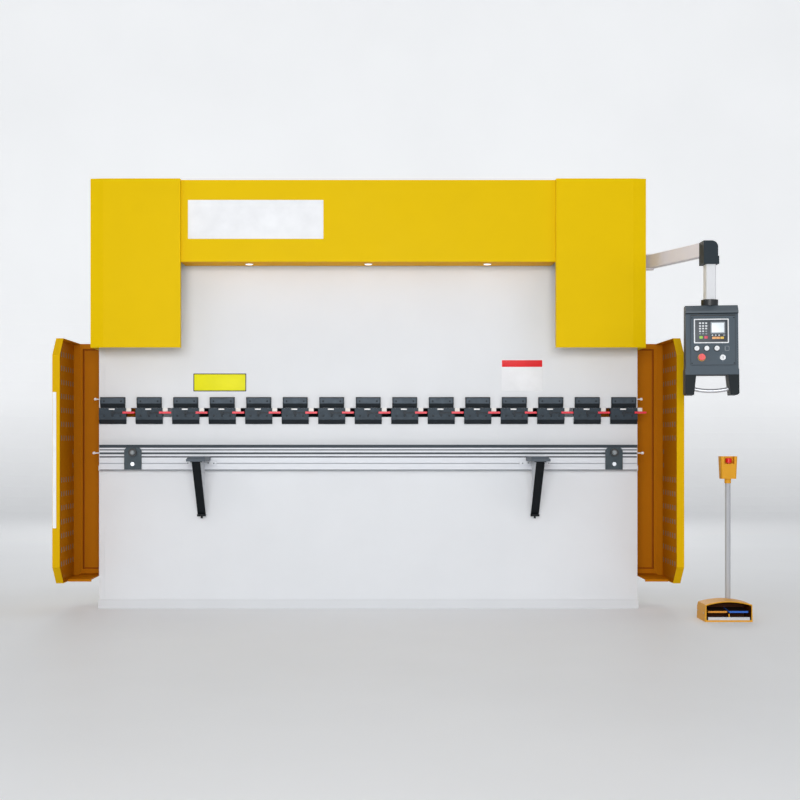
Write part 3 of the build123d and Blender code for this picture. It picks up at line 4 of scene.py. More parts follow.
import bpy
import numpy as np
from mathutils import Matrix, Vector


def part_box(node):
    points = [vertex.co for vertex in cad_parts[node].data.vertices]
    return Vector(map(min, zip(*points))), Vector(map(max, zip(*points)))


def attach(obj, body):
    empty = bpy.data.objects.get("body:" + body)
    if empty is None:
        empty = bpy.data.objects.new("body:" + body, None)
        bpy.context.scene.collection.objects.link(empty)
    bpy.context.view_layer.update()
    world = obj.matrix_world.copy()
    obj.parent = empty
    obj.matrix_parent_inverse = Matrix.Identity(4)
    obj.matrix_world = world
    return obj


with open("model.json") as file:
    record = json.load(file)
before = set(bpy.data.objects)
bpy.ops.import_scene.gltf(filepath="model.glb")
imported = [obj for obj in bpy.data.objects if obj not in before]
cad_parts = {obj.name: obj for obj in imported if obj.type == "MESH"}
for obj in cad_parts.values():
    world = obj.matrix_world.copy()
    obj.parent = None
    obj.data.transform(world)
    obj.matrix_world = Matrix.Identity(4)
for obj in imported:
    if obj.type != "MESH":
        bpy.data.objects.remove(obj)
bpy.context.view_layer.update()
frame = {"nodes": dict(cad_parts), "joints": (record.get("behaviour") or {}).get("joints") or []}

# Places read from the frame, in metres. X runs along the bed, the operator stands at -Y, Z is up.
nodes = frame["nodes"]
joints = {joint["name"]: joint for joint in frame["joints"]}


def corners_of(name):
    """A node's lowest and highest corners as arrays."""
    return tuple(np.array(corner, float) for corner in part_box(name))


def place_of(name):
    """The point on a hinge's axis."""
    return np.array(joints[name]["pos_m"], float)


MM = 0.001
RIGHT = np.array([1.0, 0.0, 0.0])
TOWARD = np.array([0.0, -1.0, 0.0])
BACKWARD = -TOWARD
UP = np.array([0.0, 0.0, 1.0])
SIDES = (("left", -1.0), ("right", 1.0))

bed_high = corners_of("bed_plate")[1]
bed_face = -30 * MM
bed_back = 30 * MM
ram_bottom = corners_of("ram_plate")[0][2]
clamp_face = corners_of("clamp_holders")[0][1]
cover_low = corners_of("top_cover")[0]
tank_back = corners_of("oil_tank")[1][1]
cabinet_side = corners_of("electrical_cabinet")[1][0]
rail_low, rail_high = corners_of("support_rail")
rail_face = rail_low[1]
gauge_top = corners_of("gauge_guides")[1][2]
lever_names = sorted(name for name in nodes if name.startswith("clamp_lever_"))
clamp_x = np.array([place_of(name + "_turn")[0] for name in lever_names])
torsion_y, torsion_z = place_of("torsion_turn")[1:]
swivel = place_of("pendant_swivel")

# The pendant's panel leans back and is turned to the operator: its outward, across and up
# directions, the middle of its face, and its outward direction seen from above.
panel_out = -np.array(joints["pendant_estop_press"]["axis"], float)
panel_out /= np.linalg.norm(panel_out)
panel_across = np.cross(UP, panel_out)
panel_across /= np.linalg.norm(panel_across)
panel_up = np.cross(panel_out, panel_across)
panel_middle = place_of("pendant_key_turn") - 56 * MM * panel_across + 96 * MM * panel_up
level_out = np.array([panel_out[0], panel_out[1], 0.0]) / np.hypot(panel_out[0], panel_out[1])


def read(items, field, kind=float):
    """Rows of three numbers: a field of every item in one of a mesh's collections."""
    values = np.empty(len(items) * (3 if kind is float else 1), kind)
    items.foreach_get(field, values)
    return values.reshape(-1, 3)


def mm(*numbers):
    """Numbers, or rows of numbers, in millimetres as an array in metres."""
    return np.array(numbers, float) * MM


# ---- Nodes ----
class Nodes:
    """Adds nodes to one tree. A value is an output socket, which is linked, or a number."""

    def __init__(self, tree):
        self.tree = tree

    def put(self, socket, value):
        """Links an output to a socket, or sets the socket to a number."""
        if isinstance(value, bpy.types.NodeSocket):
            self.tree.links.new(value, socket)
        else:
            socket.default_value = value

    def add(self, kind, **inputs):
        """A node with its inputs filled in; an underscore stands for a space in their names."""
        node = self.tree.nodes.new("ShaderNode" + kind)
        for name, value in inputs.items():
            self.put(node.inputs[name.replace("_", " ")], value)
        return node

    def math(self, kind, one, two):
        """One number worked out from two values."""
        node = self.add("Math")
        node.operation = kind
        for socket, value in zip(node.inputs, (one, two)):
            self.put(socket, value)
        return node.outputs["Value"]

    def spread(self, factor, low, high, start=0.0, stop=1.0):
        """The factor's run from start to stop, stretched to run from low to high."""
        ends = {"From_Min": start, "From_Max": stop, "To_Min": low, "To_Max": high}
        return self.add("MapRange", Value=factor, **ends).outputs["Result"]

    def blend(self, factor, low, high, start=0.3, stop=0.7):
        """A colour that goes from low to high as the factor goes from start to stop."""
        ramp = self.add("ValToRGB", Fac=factor)
        for element, position, colour in zip(ramp.color_ramp.elements, (start, stop), (low, high)):
            element.position = position
            element.color = (*colour, 1.0)
        return ramp.outputs["Color"]

    def mixed(self, factor, low, high):
        """Two colours mixed by the factor."""
        node = self.add("Mix")
        node.data_type = "RGBA"
        for index, value in zip((0, 6, 7), (factor, low, high)):
            self.put(node.inputs[index], value)
        return node.outputs[2]

    def seen(self):
        """1 for what is seen directly, in a reflection or through glass, and 0 for other light."""
        path = self.add("LightPath").outputs
        direct = self.math("MAXIMUM", path["Is Camera Ray"], path["Is Glossy Ray"])
        return self.math("MAXIMUM", direct, path["Is Transmission Ray"])


class Finish(Nodes):
    """A material on Object coordinates whose colour, gloss and height each follow a pattern."""

    def __init__(self, name, gloss, specular=0.5):
        self.material = bpy.data.materials.new(name)
        self.material.use_nodes = True
        super().__init__(self.material.node_tree)
        self.shader = self.tree.nodes["Principled BSDF"]
        self.where = self.add("TexCoord").outputs["Object"]
        self.gloss = gloss
        self.set("Specular IOR Level", specular)
        self.set("Roughness", gloss)

    def set(self, socket, value):
        """Sets or links one of the shader's own sockets."""
        self.put(self.shader.inputs[socket], value)

    def axes(self):
        """The X, Y and Z of each point."""
        return self.add("SeparateXYZ", Vector=self.where).outputs

    def noise(self, scale, detail=4.0, roughness=0.55, where=None):
        """Cloudy noise from 0 to 1."""
        where = where or self.where
        node = self.add("TexNoise", Scale=scale, Detail=detail, Roughness=roughness, Vector=where)
        return node.outputs["Fac"]

    def streaks(self, stretch):
        """Noise drawn out into streaks along the axis with the smallest stretch."""
        drawn = self.add("Mapping", Scale=stretch, Vector=self.where).outputs["Vector"]
        return self.noise(60.0, 3.0, where=drawn)

    def shades(self, factor, colour, low, high, start=0.3, stop=0.7):
        """The colour made darker by low and lighter by high, as the factor goes up."""
        return self.blend(factor, shade(colour, low), shade(colour, high), start, stop)

    def paint(self, *shades_of):
        """Base colour in shades of one colour."""
        tint = self.shades(*shades_of)
        self.set("Base Color", tint)
        return tint

    def done(self, pattern, below, above, height, strength, distance):
        """The material, with roughness that a pattern moves from below to above its gloss, and
        relief of a height pattern."""
        self.set("Roughness", self.spread(pattern, self.gloss - below, self.gloss + above))
        bump = self.add("Bump", Strength=strength, Distance=distance, Height=height)
        self.set("Normal", bump.outputs["Normal"])
        return self.material


def shade(colour, factor):
    """A colour made lighter or darker, no part of it above 1."""
    return tuple(min(part * factor, 1.0) for part in colour)


# ---- Camera and studio ----
# Lamp: place, point it is turned to, width and height, watts.
LAMPS = {
    "front_soft": ((-0.4, -10.5, 2.5), (0.0, 0.0, 1.2), (5.0, 2.6), 500),
    "key_left": ((-6.0, -6.0, 4.6), (0.0, 0.0, 1.2), (4.0, 3.0), 55),
    "fill_right": ((6.5, -6.0, 3.4), (0.0, 0.0, 1.2), (4.0, 3.0), 50),
    "top_soft": ((0.0, 0.3, 6.5), (0.0, 0.2, 0.0), (6.0, 4.0), 70),
    "rear_soft": ((0.0, 8.0, 4.2), (0.0, 0.0, 1.4), (6.0, 3.0), 170),
}
AIR_LIGHT, AIR_SEEN = 0.34, 0.74


def placed(name, data, location=(0, 0, 0), rotation=(0, 0, 0)):
    """A new object in the scene."""
    thing = bpy.data.objects.new(name, data)
    thing.location = location
    thing.rotation_euler = rotation
    bpy.context.scene.collection.objects.link(thing)
    return thing


def make_camera():
    """A level camera in front of the bed, a metre above the floor."""
    data = bpy.data.cameras.new("front_camera")
    data.lens, data.sensor_width = 60.75, 36.0
    data.shift_x, data.shift_y = 0.0397, 0.05
    camera = placed("front_camera", data, (0.0, -8.03, 0.997), (np.pi / 2, 0.0, 0.0))
    bpy.context.scene.camera = camera


def make_lamp(name, place, aim, size, watts):
    """A soft rectangular lamp at a place, turned to a point."""
    data = bpy.data.lights.new(name, "AREA")
    data.shape = "RECTANGLE"
    data.size, data.size_y = size
    data.energy = watts
    way = Vector(aim) - Vector(place)
    placed(name, data, place, way.to_track_quat("-Z", "Y").to_euler())


def make_air():
    """Air that lights the machine softly; seen directly or in a reflection it is as pale as the
    studio's wall."""
    world = bpy.data.worlds.new("studio_air")
    world.use_nodes = True
    air = Nodes(world.node_tree)
    background = world.node_tree.nodes["Background"]
    air.put(background.inputs["Color"], (0.94, 0.96, 1.0, 1.0))
    air.put(background.inputs["Strength"], air.spread(air.seen(), AIR_LIGHT, AIR_SEEN))
    bpy.context.scene.world = world


def studio_floor_finish():
    """Pale floor with a faint mottle. Seen directly or in a reflection, the far floor and the wall
    also glow, more with distance, so that the background stays pale."""
    floor = Finish("pale_floor", 0.55, 0.3)
    pale = floor.blend(floor.noise(0.6), (0.78, 0.79, 0.80), (0.81, 0.82, 0.83))
    floor.set("Base Color", pale)
    floor.set("Emission Color", pale)
    axes = floor.axes()
    in_front = floor.math("SUBTRACT", -9.0, axes["Y"])
    distance = floor.math("MAXIMUM", axes["Y"], in_front)
    far = floor.spread(distance, 0.04, 0.34, -2.0, 11.5)
    high = floor.spread(axes["Z"], 0.0, 0.28, 0.0, 1.6)
    glow = floor.math("MULTIPLY", floor.seen(), floor.math("ADD", far, high))
    floor.set("Emission Strength", glow)
    return floor.material


def make_studio():
    """A pale floor and soft lamps. The floor runs flat from its front edge to the turn, then up as
    a quarter circle, y = turn + R sin a and z = R (1 - cos a), into a wall."""
    for name, lamp in LAMPS.items():
        make_lamp(name, *lamp)
    make_air()
    bpy.context.scene.view_settings.view_transform = "Standard"
    front_edge, side_edge, turn_y, turn_radius, wall_top = -30.0, 26.0, 9.0, 3.0, 9.0
    angle = np.linspace(0, np.pi / 2, 17)
    bend_y = turn_y + turn_radius * np.sin(angle)
    bend_z = turn_radius * (1 - np.cos(angle))
    x, y = np.meshgrid((-side_edge, 0.0, side_edge), (front_edge, *bend_y, turn_y + turn_radius))
    z = np.meshgrid(x[0], (0.0, *bend_z, wall_top))[1]
    points = np.stack((x, y, z), axis=-1).reshape(-1, 3)
    floor = new_object("studio_floor", points, grid_faces(*x.shape), studio_floor_finish())




# ---- Mesh making ----
def grid_faces(rows, columns, close_columns=False, close_rows=False):
    """Quads over a grid of points; a closed direction joins its last line to its first."""
    r, c = np.meshgrid(
        np.arange(rows if close_rows else rows - 1),
        np.arange(columns if close_columns else columns - 1),
        indexing="ij",
    )
    r2, c2 = (r + 1) % rows, (c + 1) % columns
    quads = (r * columns + c, r * columns + c2, r2 * columns + c2, r2 * columns + c)
    return np.stack(quads, axis=-1).reshape(-1, 4).tolist()


def capped_faces(rows, around):
    """Quads of a tube of rings, with a flat cap on its first and its last ring."""
    first, last = list(range(around)), [(rows - 1) * around + i for i in range(around)]
    return grid_faces(rows, around, close_columns=True) + [first[::-1], last]


def new_object(name, points, faces, material):
    """A mesh object at the origin from an array of points and a list of faces."""
    mesh = bpy.data.meshes.new(name)
    mesh.from_pydata(np.asarray(points).tolist(), [], faces)
    mesh.update()
    mesh.materials.append(material)
    return placed(name, mesh)


def add_piece(name, shapes, look, body="frame"):
    """Joins (points, faces) shapes into one piece that rides on a body, with edges above 35
    degrees sharp."""
    points, faces, first = [], [], 0
    for shape_points, shape_faces in shapes:
        points.append(shape_points)
        faces += [[first + i for i in face] for face in shape_faces]
        first += len(shape_points)
    piece = new_object(name, np.concatenate(points), faces, looks[look])
    piece.data.polygons.foreach_set("use_smooth", np.ones(len(piece.data.polygons), bool))
    piece.data.set_sharp_from_angle(angle=np.radians(35))
    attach(piece, body)


def directions(axis, up=None):
    """Unit vectors across and up that make a right-handed set with an axis."""
    axis = np.asarray(axis, float)
    if up is None:
        up = UP if abs(axis[2]) < 0.9 else BACKWARD
    across = np.cross(up, axis)
    across /= np.linalg.norm(across)
    return across, np.cross(axis, across)


def swept(profile, centre, axis, around, six=()):
    """Points of a turned surface: centre + r (cos a across + sin a up) + h axis, for each (r, h)
    of the profile and angle a. Rows listed in six follow a hexagon whose inner radius is r."""
    profile, axis = np.asarray(profile), np.asarray(axis, float)
    across, up = directions(axis)
    angle = np.arange(around) * 2 * np.pi / around
    ring = np.cos(angle)[:, None] * across + np.sin(angle)[:, None] * up
    radius = np.repeat(profile[:, :1], around, axis=1)
    for row in six:
        radius[row] /= np.cos((angle + np.pi / 6) % (np.pi / 3) - np.pi / 6)
    points = np.asarray(centre) + radius[..., None] * ring + profile[:, 1, None, None] * axis
    return points.reshape(-1, 3)


def turned(profile, centre, axis, around=20, six=()):
    """A turned solid: an open (r, h) profile carried round the axis, with a cap at each end."""
    return swept(profile, centre, axis, around, six), capped_faces(len(profile), around)


def ring_of(profile, centre, axis, around=28):
    """A turned ring: a closed (r, h) profile carried round the axis, with no caps."""
    return swept(profile, centre, axis, around), grid_faces(len(profile), around, True, True)


def rounded_outline(half_width, half_height, radius):
    """Points round a rectangle with quarter-circle corners, anticlockwise."""
    quarter = np.linspace(0, np.pi / 2, 4)
    corners = []
    for turn, (sx, sy) in enumerate(((1, 1), (-1, 1), (-1, -1), (1, -1))):
        angle = quarter + turn * np.pi / 2
        x = sx * (half_width - radius) + radius * np.cos(angle)
        y = sy * (half_height - radius) + radius * np.sin(angle)
        corners.append(np.stack((x, y), axis=-1))
    return np.concatenate(corners)


def stacked(centre, axis, up, rows):
    """Rounded rectangles one after another: point = centre + x across + y up + lift axis, where
    (x, y) runs round each (half width, half height, radius, lift) of the rows."""
    across, upward = directions(axis, up)
    rings = []
    for *size, lift in rows:
        x, y = rounded_outline(*size).T[..., None]
        rings.append(x * across + y * upward + lift * np.asarray(axis, float))
    return np.asarray(centre) + np.concatenate(rings), len(rings[0])


def slab(centre, axis, half_width, half_height, radius, profile, up=None):
    """A rounded plate, smaller by inset for each (inset, lift) of the profile, closed at both
    ends."""
    rows = [(half_width - inset, half_height - inset, max(radius - inset, 1e-5), lift)
            for inset, lift in profile]
    points, around = stacked(centre, axis, up, rows)
    return points, capped_faces(len(rows), around)


def window_frame(centre, axis, outer, inner, radius, lift, up=None):
    """A flat rounded frame: its section (outer foot, outer top, inner top, inner foot) is carried
    round two rounded rectangles, outer and inner, given as (half width, half height)."""
    edge = 0.3 * lift
    section = ((0, 0, 0.0), (0, 0, lift - edge), (0, edge, lift),
               (1, -edge, lift), (1, 0, lift - edge), (1, 0, 0.0))
    sides = (outer, radius), (inner, radius * 0.6)
    rows = []
    for side, inset, height in section:
        (half_width, half_height), bend = sides[side]
        rows.append((half_width - inset, half_height - inset, bend, height))
    points, around = stacked(centre, axis, up, rows)
    return points, grid_faces(len(rows), around, True, True)


def soft_edge(thickness, edge):
    """Foot, side and a quarter-round front edge of a thin plate, as (inset, lift)."""
    turn = np.linspace(0, np.pi / 2, 4)
    top = thickness - edge
    return [(0.0, 0.0), *((edge * (1 - np.cos(a)), top + edge * np.sin(a)) for a in turn)]


def socket_screw(centre, axis, radius, height):
    """Socket screw head: a turned cap with a hexagonal pit."""
    pit = radius * 0.52
    profile = [(radius, 0.0), (radius, height * 0.82), (radius * 0.88, height),
               (pit * 1.25, height), (pit, height * 0.94), (pit, height * 0.35)]
    return turned(profile, centre, axis, around=18, six=(4, 5))


def button_screw(centre, axis, radius, height):
    """Low domed screw head with a hexagonal pit."""
    turn = np.linspace(0.15, np.pi / 2 * 0.62, 4)
    dome = [(radius * np.cos(a), height * np.sin(a)) for a in turn]
    pit = radius * 0.42
    profile = [(radius, 0.0), *dome, (pit, height * 0.9), (pit, height * 0.35)]
    return turned(profile, centre, axis, around=18, six=(-2, -1))


def hex_bolt(centre, axis, radius, height):
    """Hexagon bolt head with a chamfered top on a round washer."""
    shares = ((1.25, 0.0), (1.25, 0.18), (0.9, 0.18), (0.9, 0.88), (0.8, 1.0))
    profile = [(radius * r, height * h) for r, h in shares]
    return turned(profile, centre, axis, around=24, six=(2, 3))


def screws_at(places, axis, radius, height, make=button_screw):
    """Screws of one size, in millimetres, at a row of places."""
    return [make(place, axis, *mm(radius, height)) for place in places]


def round_places(centre, axis, radius, count, phase=0.0):
    """Places evenly round a circle: centre + radius (cos a across + sin a up)."""
    across, up = directions(axis)
    angles = phase + np.arange(count) * 2 * np.pi / count
    return [np.asarray(centre) + radius * (np.cos(a) * across + np.sin(a) * up) for a in angles]


# ---- Finishes ----
RAIL_GRAIN = (0.25, 18.0, 18.0)
WEDGE_GRAIN = (1.0, 9.0, 9.0)


def cured(coat):
    """The film of a powder coat: uneven gloss and a fine ripple."""
    return coat.done(coat.noise(5.0), 0.05, 0.07, coat.noise(420.0, 2.0), 0.12, 0.0004)


def powder_coat(name, colour, gloss=0.4, specular=0.3):
    """Powder coat: faint cloudy colour under a cured film."""
    coat = Finish(name, gloss, specular)
    coat.paint(coat.noise(1.7, 5.0), colour, 0.975, 1.02)
    return cured(coat)


def above_level(surface, level):
    """0 below a height of the machine and 1 above it, with a soft step 0.8 mm high."""
    return surface.spread(surface.axes()["Z"], 0.0, 1.0, level - 0.4 * MM, level + 0.4 * MM)


def two_colours(surface, factor, pattern, colours, low, high):
    """Base colour mixed from two colours by a factor, each in shades of one pattern."""
    first, second = (surface.shades(pattern, colour, low, high) for colour in colours)
    surface.set("Base Color", surface.mixed(factor, first, second))


def two_tone(name, colours, level, gloss, specular):
    """Powder coat that changes colour at one height of the machine."""
    coat = Finish(name, gloss, specular)
    two_colours(coat, above_level(coat, level), coat.noise(1.7, 5.0), colours, 0.95, 1.03)
    return cured(coat)


def blackened(steel):
    """Half metallic oxide with uneven gloss and a fine ground grain."""
    steel.set("Metallic", 0.35)
    return steel.done(steel.noise(60.0), 0.08, 0.12, steel.noise(900.0, 2.0), 0.15, 0.0002)


def blackened_steel(name, colour, gloss=0.45):
    """Blackened steel: grey-blue oxide with lighter rubbed patches."""
    steel = Finish(name, gloss, 0.35)
    steel.paint(steel.noise(22.0, 6.0, 0.65), colour, 0.8, 1.22)
    return blackened(steel)


def clamp_holder_steel(name, colours):
    """Blackened steel that darkens to a rim of painted shade at the ends of each holder and along
    its top. The distance from the nearest clamp's middle is a triangle wave along X with the
    clamps' pitch."""
    steel = Finish(name, 0.45, 0.2)
    pitch = float(clamp_x[1] - clamp_x[0])
    axes = steel.axes()
    from_first = steel.math("SUBTRACT", axes["X"], float(clamp_x[0] - 40 * pitch))
    away = steel.math("PINGPONG", from_first, pitch / 2)
    side = steel.spread(away, 0.0, 1.0, 64 * MM, 70 * MM)
    top = steel.spread(axes["Z"], 0.0, 1.0, 1243.5 * MM, 1247.5 * MM)
    # painted shade: the dark rim at the ends and the top of each holder
    rim = steel.math("MAXIMUM", side, top)
    two_colours(steel, rim, steel.noise(22.0, 6.0, 0.65), colours, 0.8, 1.22)
    return blackened(steel)


def brushed(metal, streak, metallic):
    """Gloss and height of brushed metal along its streaks."""
    metal.set("Metallic", metallic)
    return metal.done(streak, 0.06, 0.1, streak, 0.08, 0.0002)


def brushed_metal(name, colour, stretch, gloss, metallic=1.0):
    """Brushed metal: long thin streaks of noise in colour, gloss and height."""
    metal = Finish(name, gloss)
    streak = metal.streaks(stretch)
    metal.paint(streak, colour, 0.9, 1.06)
    return brushed(metal, streak, metallic)


def banded_rail(name, colours, level):
    """Brushed aluminium whose upper band is dark."""
    metal = Finish(name, 0.45, 0.2)
    streak = metal.streaks(RAIL_GRAIN)
    two_colours(metal, above_level(metal, level), streak, colours, 0.9, 1.06)
    return brushed(metal, streak, 0.15)


def moulded(name, colour, gloss=0.35, specular=0.4):
    """Moulded plastic: near-even colour and a fine spark-eroded grain."""
    plastic = Finish(name, gloss, specular)
    plastic.paint(plastic.noise(9.0), colour, 0.95, 1.04)
    grain = plastic.noise(500.0, 2.0)
    return plastic.done(plastic.noise(30.0), 0.04, 0.06, grain, 0.1, 0.0002)


def ribbed(name, colour):
    """Moulded tread: parallel ribs 8 mm apart across the foot, a sine wave of height along Y, with
    painted shade in the troughs and a painted highlight on the crests.
    """
    tread = Finish(name, 0.5, 0.35)
    turns = tread.math("MULTIPLY", tread.axes()["Y"], 2 * np.pi / (8 * MM))
    wave = tread.math("SINE", turns, 0.0)
    # painted shade and highlight: the colour follows the ribs' height, darker in the troughs
    tread.paint(wave, colour, 0.86, 1.05, 0.1, 0.9)
    return tread.done(tread.noise(30.0), 0.05, 0.08, wave, 0.8, 0.0012)


def cast_paint(name, colour):
    """Enamel over a sand casting: broad soft lumps and a fine grit under the paint."""
    enamel = Finish(name, 0.45, 0.35)
    enamel.paint(enamel.noise(6.0, 5.0), colour, 0.9, 1.08)
    lumps = enamel.math("ADD", enamel.noise(90.0, 3.0), enamel.noise(500.0, 2.0))
    return enamel.done(enamel.noise(20.0), 0.06, 0.1, lumps, 0.25, 0.0006)


def glowing(name, colour, strength):
    """A lit face with slightly uneven brightness."""
    face = Finish(name, 0.3)
    face.set("Emission Color", face.paint(face.noise(40.0), colour, 0.93, 1.0))
    face.set("Emission Strength", strength)
    return face.material


def sight_glass(name, colour):
    """Clear tinted glass over oil: smooth, with faint depth of colour."""
    glass = Finish(name, 0.08)
    glass.paint(glass.noise(14.0), colour, 0.85, 1.0)
    glass.set("Coat Weight", 0.8)
    return glass.material




# Each kind of finish, and its materials: name, colour or colours, and the kind's own numbers.
LOOKS = (
    (powder_coat,
     ("white_powder_coat", (0.772, 0.79, 0.815), 0.4, 0.2),
     ("sill_white_coat", (0.712, 0.728, 0.751), 0.4, 0.2),
     ("yellow_powder_coat", (0.79, 0.525, 0.001), 0.42, 0.04),
     ("yellow_coat_edge", (0.71, 0.42, 0.0015), 0.42, 0.04),
     # painted shade: the top cover's underside, its yellow darkened to orange
     ("cover_lower_lip", (0.86, 0.42, 0.001), 0.5, 0.03),
     # painted shade: the guards' inside faces, their yellow darkened to amber
     ("amber_inner_coat", (0.5, 0.168, 0.0015), 0.5, 0.05),
     # painted shade: a deeper amber in the rear panels' recess and on the strips round it
     ("amber_recess_coat", (0.34, 0.085, 0.001), 0.5, 0.08),
     # painted highlight: a lighter amber on the downward face of the doors' top lip
     ("amber_band_coat", (0.66, 0.28, 0.008), 0.5, 0.1),
     ("black_paint", (0.0065, 0.0085, 0.0105), 0.46, 0.12),
     ("slate_paint", (0.024, 0.034, 0.042), 0.48, 0.14),
     ("support_table_paint", (0.08, 0.098, 0.12), 0.42, 0.25),
     ("pendant_hood_paint", (0.07, 0.09, 0.108), 0.42, 0.25),
     ("arm_tube_paint", (0.8, 0.77, 0.83), 0.4, 0.25),
     ("drop_tube_paint", (0.74, 0.75, 0.77), 0.42, 0.2),
     ("pole_paint", (0.46, 0.47, 0.495), 0.34, 0.35),
     ("arm_web_paint", (0.62, 0.64, 0.67), 0.42, 0.2),
     ("step_paint", (0.62, 0.63, 0.65))),
    (two_tone,
     ("pendant_front", ((0.01, 0.015, 0.018), (0.082, 0.106, 0.128)), 1.352, 0.42, 0.1)),
    (blackened_steel,
     ("jaw_steel", (0.018, 0.029, 0.04)),
     # painted shade: a darker copy of the clamp steel for the bevels
     ("clamp_bevel_steel", (0.013, 0.018, 0.023)),
     ("dark_steel", (0.014, 0.019, 0.025)),
     ("black_screws", (0.012, 0.017, 0.022), 0.4),
     ("rail_cap", (0.056, 0.069, 0.082)),
     ("knob_cap", (0.225, 0.25, 0.262)),
     ("carriage_plate", (0.036, 0.051, 0.061))),
    (clamp_holder_steel,
     # painted shade: the second colour is the holders' dark rim
     ("clamp_holder_steel", ((0.05, 0.065, 0.081), (0.02, 0.027, 0.034)))),
    (brushed_metal,
     ("ground_steel", (0.7, 0.72, 0.76), (1, 14, 14), 0.26),
     ("screw_steel", (0.55, 0.57, 0.6), (8, 8, 8), 0.3),
     ("bright_studs", (0.88, 0.9, 0.93), (8, 8, 8), 0.4, 0.1),
     ("handle_metal", (0.62, 0.63, 0.66), (6, 6, 6), 0.36, 0.6),
     ("vent_screen", (0.23, 0.235, 0.24), (60, 60, 60), 0.6, 0.2),
     ("wedge_steel", (0.74, 0.73, 0.7), WEDGE_GRAIN, 0.5, 0.2),
     ("wedge_nose", (0.95, 0.95, 0.96), WEDGE_GRAIN, 0.45, 0.1),
     ("anodised_aluminium", (0.6, 0.62, 0.66), RAIL_GRAIN, 0.42, 0.35),
     ("rail_face", (0.66, 0.68, 0.72), RAIL_GRAIN, 0.45, 0.15),
     # painted shade: the rail's downward lower chamfer and the faces inside its slots
     ("rail_lower_edge", (0.37, 0.39, 0.42), RAIL_GRAIN, 0.45, 0.3),
     ("rail_faint_slot", (0.42, 0.44, 0.48), RAIL_GRAIN, 0.5, 0.2),
     ("rail_slot_floor", (0.092, 0.108, 0.127), RAIL_GRAIN, 0.5, 0.3),
     ("rail_slot_deep", (0.052, 0.062, 0.075), RAIL_GRAIN, 0.5, 0.3)),
    (banded_rail,
     ("rail_front", ((0.66, 0.68, 0.72), (0.034, 0.045, 0.056)), 0.951)),
    (cast_paint,
     ("machine_grey", (0.17, 0.2, 0.23)),
     ("motor_enamel", (0.085, 0.115, 0.15))),
    (moulded,
     ("red_grip", (0.8, 0.018, 0.045), 0.32),
     ("stop_red", (0.74, 0.012, 0.01), 0.28),
     ("black_plastic", (0.01, 0.012, 0.014), 0.38),
     ("white_plastic", (0.8, 0.82, 0.84), 0.34),
     ("white_plate", (0.87, 0.88, 0.9), 0.42, 0.1),
     ("plate_border", (0.02, 0.02, 0.018), 0.4),
     ("yellow_plate", (0.86, 0.82, 0.004), 0.4, 0.15),
     ("red_band", (0.78, 0.015, 0.02), 0.4, 0.2),
     ("pedal_yellow", (0.74, 0.345, 0.018), 0.42, 0.2),
     # painted shade: the housing's yellow darkened for its inside
     ("pedal_inside", (0.085, 0.022, 0.004), 0.55, 0.15),
     ("controller_face", (0.03, 0.04, 0.052), 0.4),
     ("white_keys", (0.7, 0.73, 0.76), 0.4, 0.2),
     ("grey_keys", (0.3, 0.33, 0.36), 0.42, 0.2),
     ("panel_seam", (0.045, 0.058, 0.072), 0.42, 0.2),
     ("button_ring", (0.012, 0.017, 0.021), 0.4),
     ("green_key", (0.3, 0.56, 0.06)),
     ("red_key", (0.66, 0.05, 0.1)),
     ("amber_key", (0.85, 0.4, 0.13)),
     ("yellow_key", (0.8, 0.5, 0.06))),
    (ribbed,
     ("treadle_orange", (0.82, 0.33, 0.03)),
     ("treadle_blue", (0.03, 0.16, 0.68)),
     ("tread_rubber", (0.02, 0.01, 0.008))),
    (sight_glass,
     ("oil_glass", (0.55, 0.36, 0.06))),
    (glowing,
     ("lamp_lens", (1.0, 0.98, 0.93), 2.0),
     ("screen_glow", (0.72, 0.78, 0.82), 0.22)),
)
looks = {name: make(name, *numbers) for make, *rows in LOOKS for name, *numbers in rows}


# ---- Finishes on the CAD nodes ----
def faces_of(name):
    """A node's faces as arrays: middle with its parts x, y and z, off as the distance from the
    machine's middle plane, and normal with its parts nx, ny and nz."""
    faces = nodes[name].data.polygons
    middle, normal = read(faces, "center"), read(faces, "normal")
    (x, y, z), (nx, ny, nz) = middle.T, normal.T
    parts = {"x": x, "y": y, "z": z, "off": np.abs(x), "nx": nx, "ny": ny, "nz": nz}
    return SimpleNamespace(middle=middle, normal=normal, **parts)


def finish(name, base, *picks):
    """Gives a node its base look, and other looks to the faces picked for each."""
    mesh = nodes[name].data
    mesh.materials.clear()
    mesh.materials.append(looks[base])
    index = np.zeros(len(mesh.polygons), np.int32)
    for number, (look, picked) in enumerate(picks, start=1):
        mesh.materials.append(looks[look])
        index[picked] = number
    mesh.polygons.foreach_set("material_index", index)
    mesh.update()


def within(values, low, high, slack=0.01 * MM):
    """True for values from low to high."""
    return (values > low - slack) & (values < high + slack)


def finish_plain():
    """Nodes with one material all over."""
    for look, *names in (
        ("white_powder_coat", "bed_plate", "oil_tank", "electrical_cabinet"),
        ("sill_white_coat", "base_feet"),
        ("yellow_powder_coat", "side_cover_left", "side_cover_right"),
        ("machine_grey", "cylinder_barrels", "torsion_shaft"),
        ("ground_steel", "piston_rods", "gauge_finger_left", "gauge_finger_right"),
        ("slate_paint", "sync_rod_left", "sync_rod_right"),
        ("anodised_aluminium", "gauge_beam"),
        ("arm_tube_paint", "pendant_bracket"),
        ("white_plastic", "work_lights", "pendant_button_a", "pendant_button_b",
         "pendant_button_c", "pendant_key"),
        ("stop_red", "pendant_estop", "pedal_estop"),
    ):
        for name in names:
            finish(name, look)


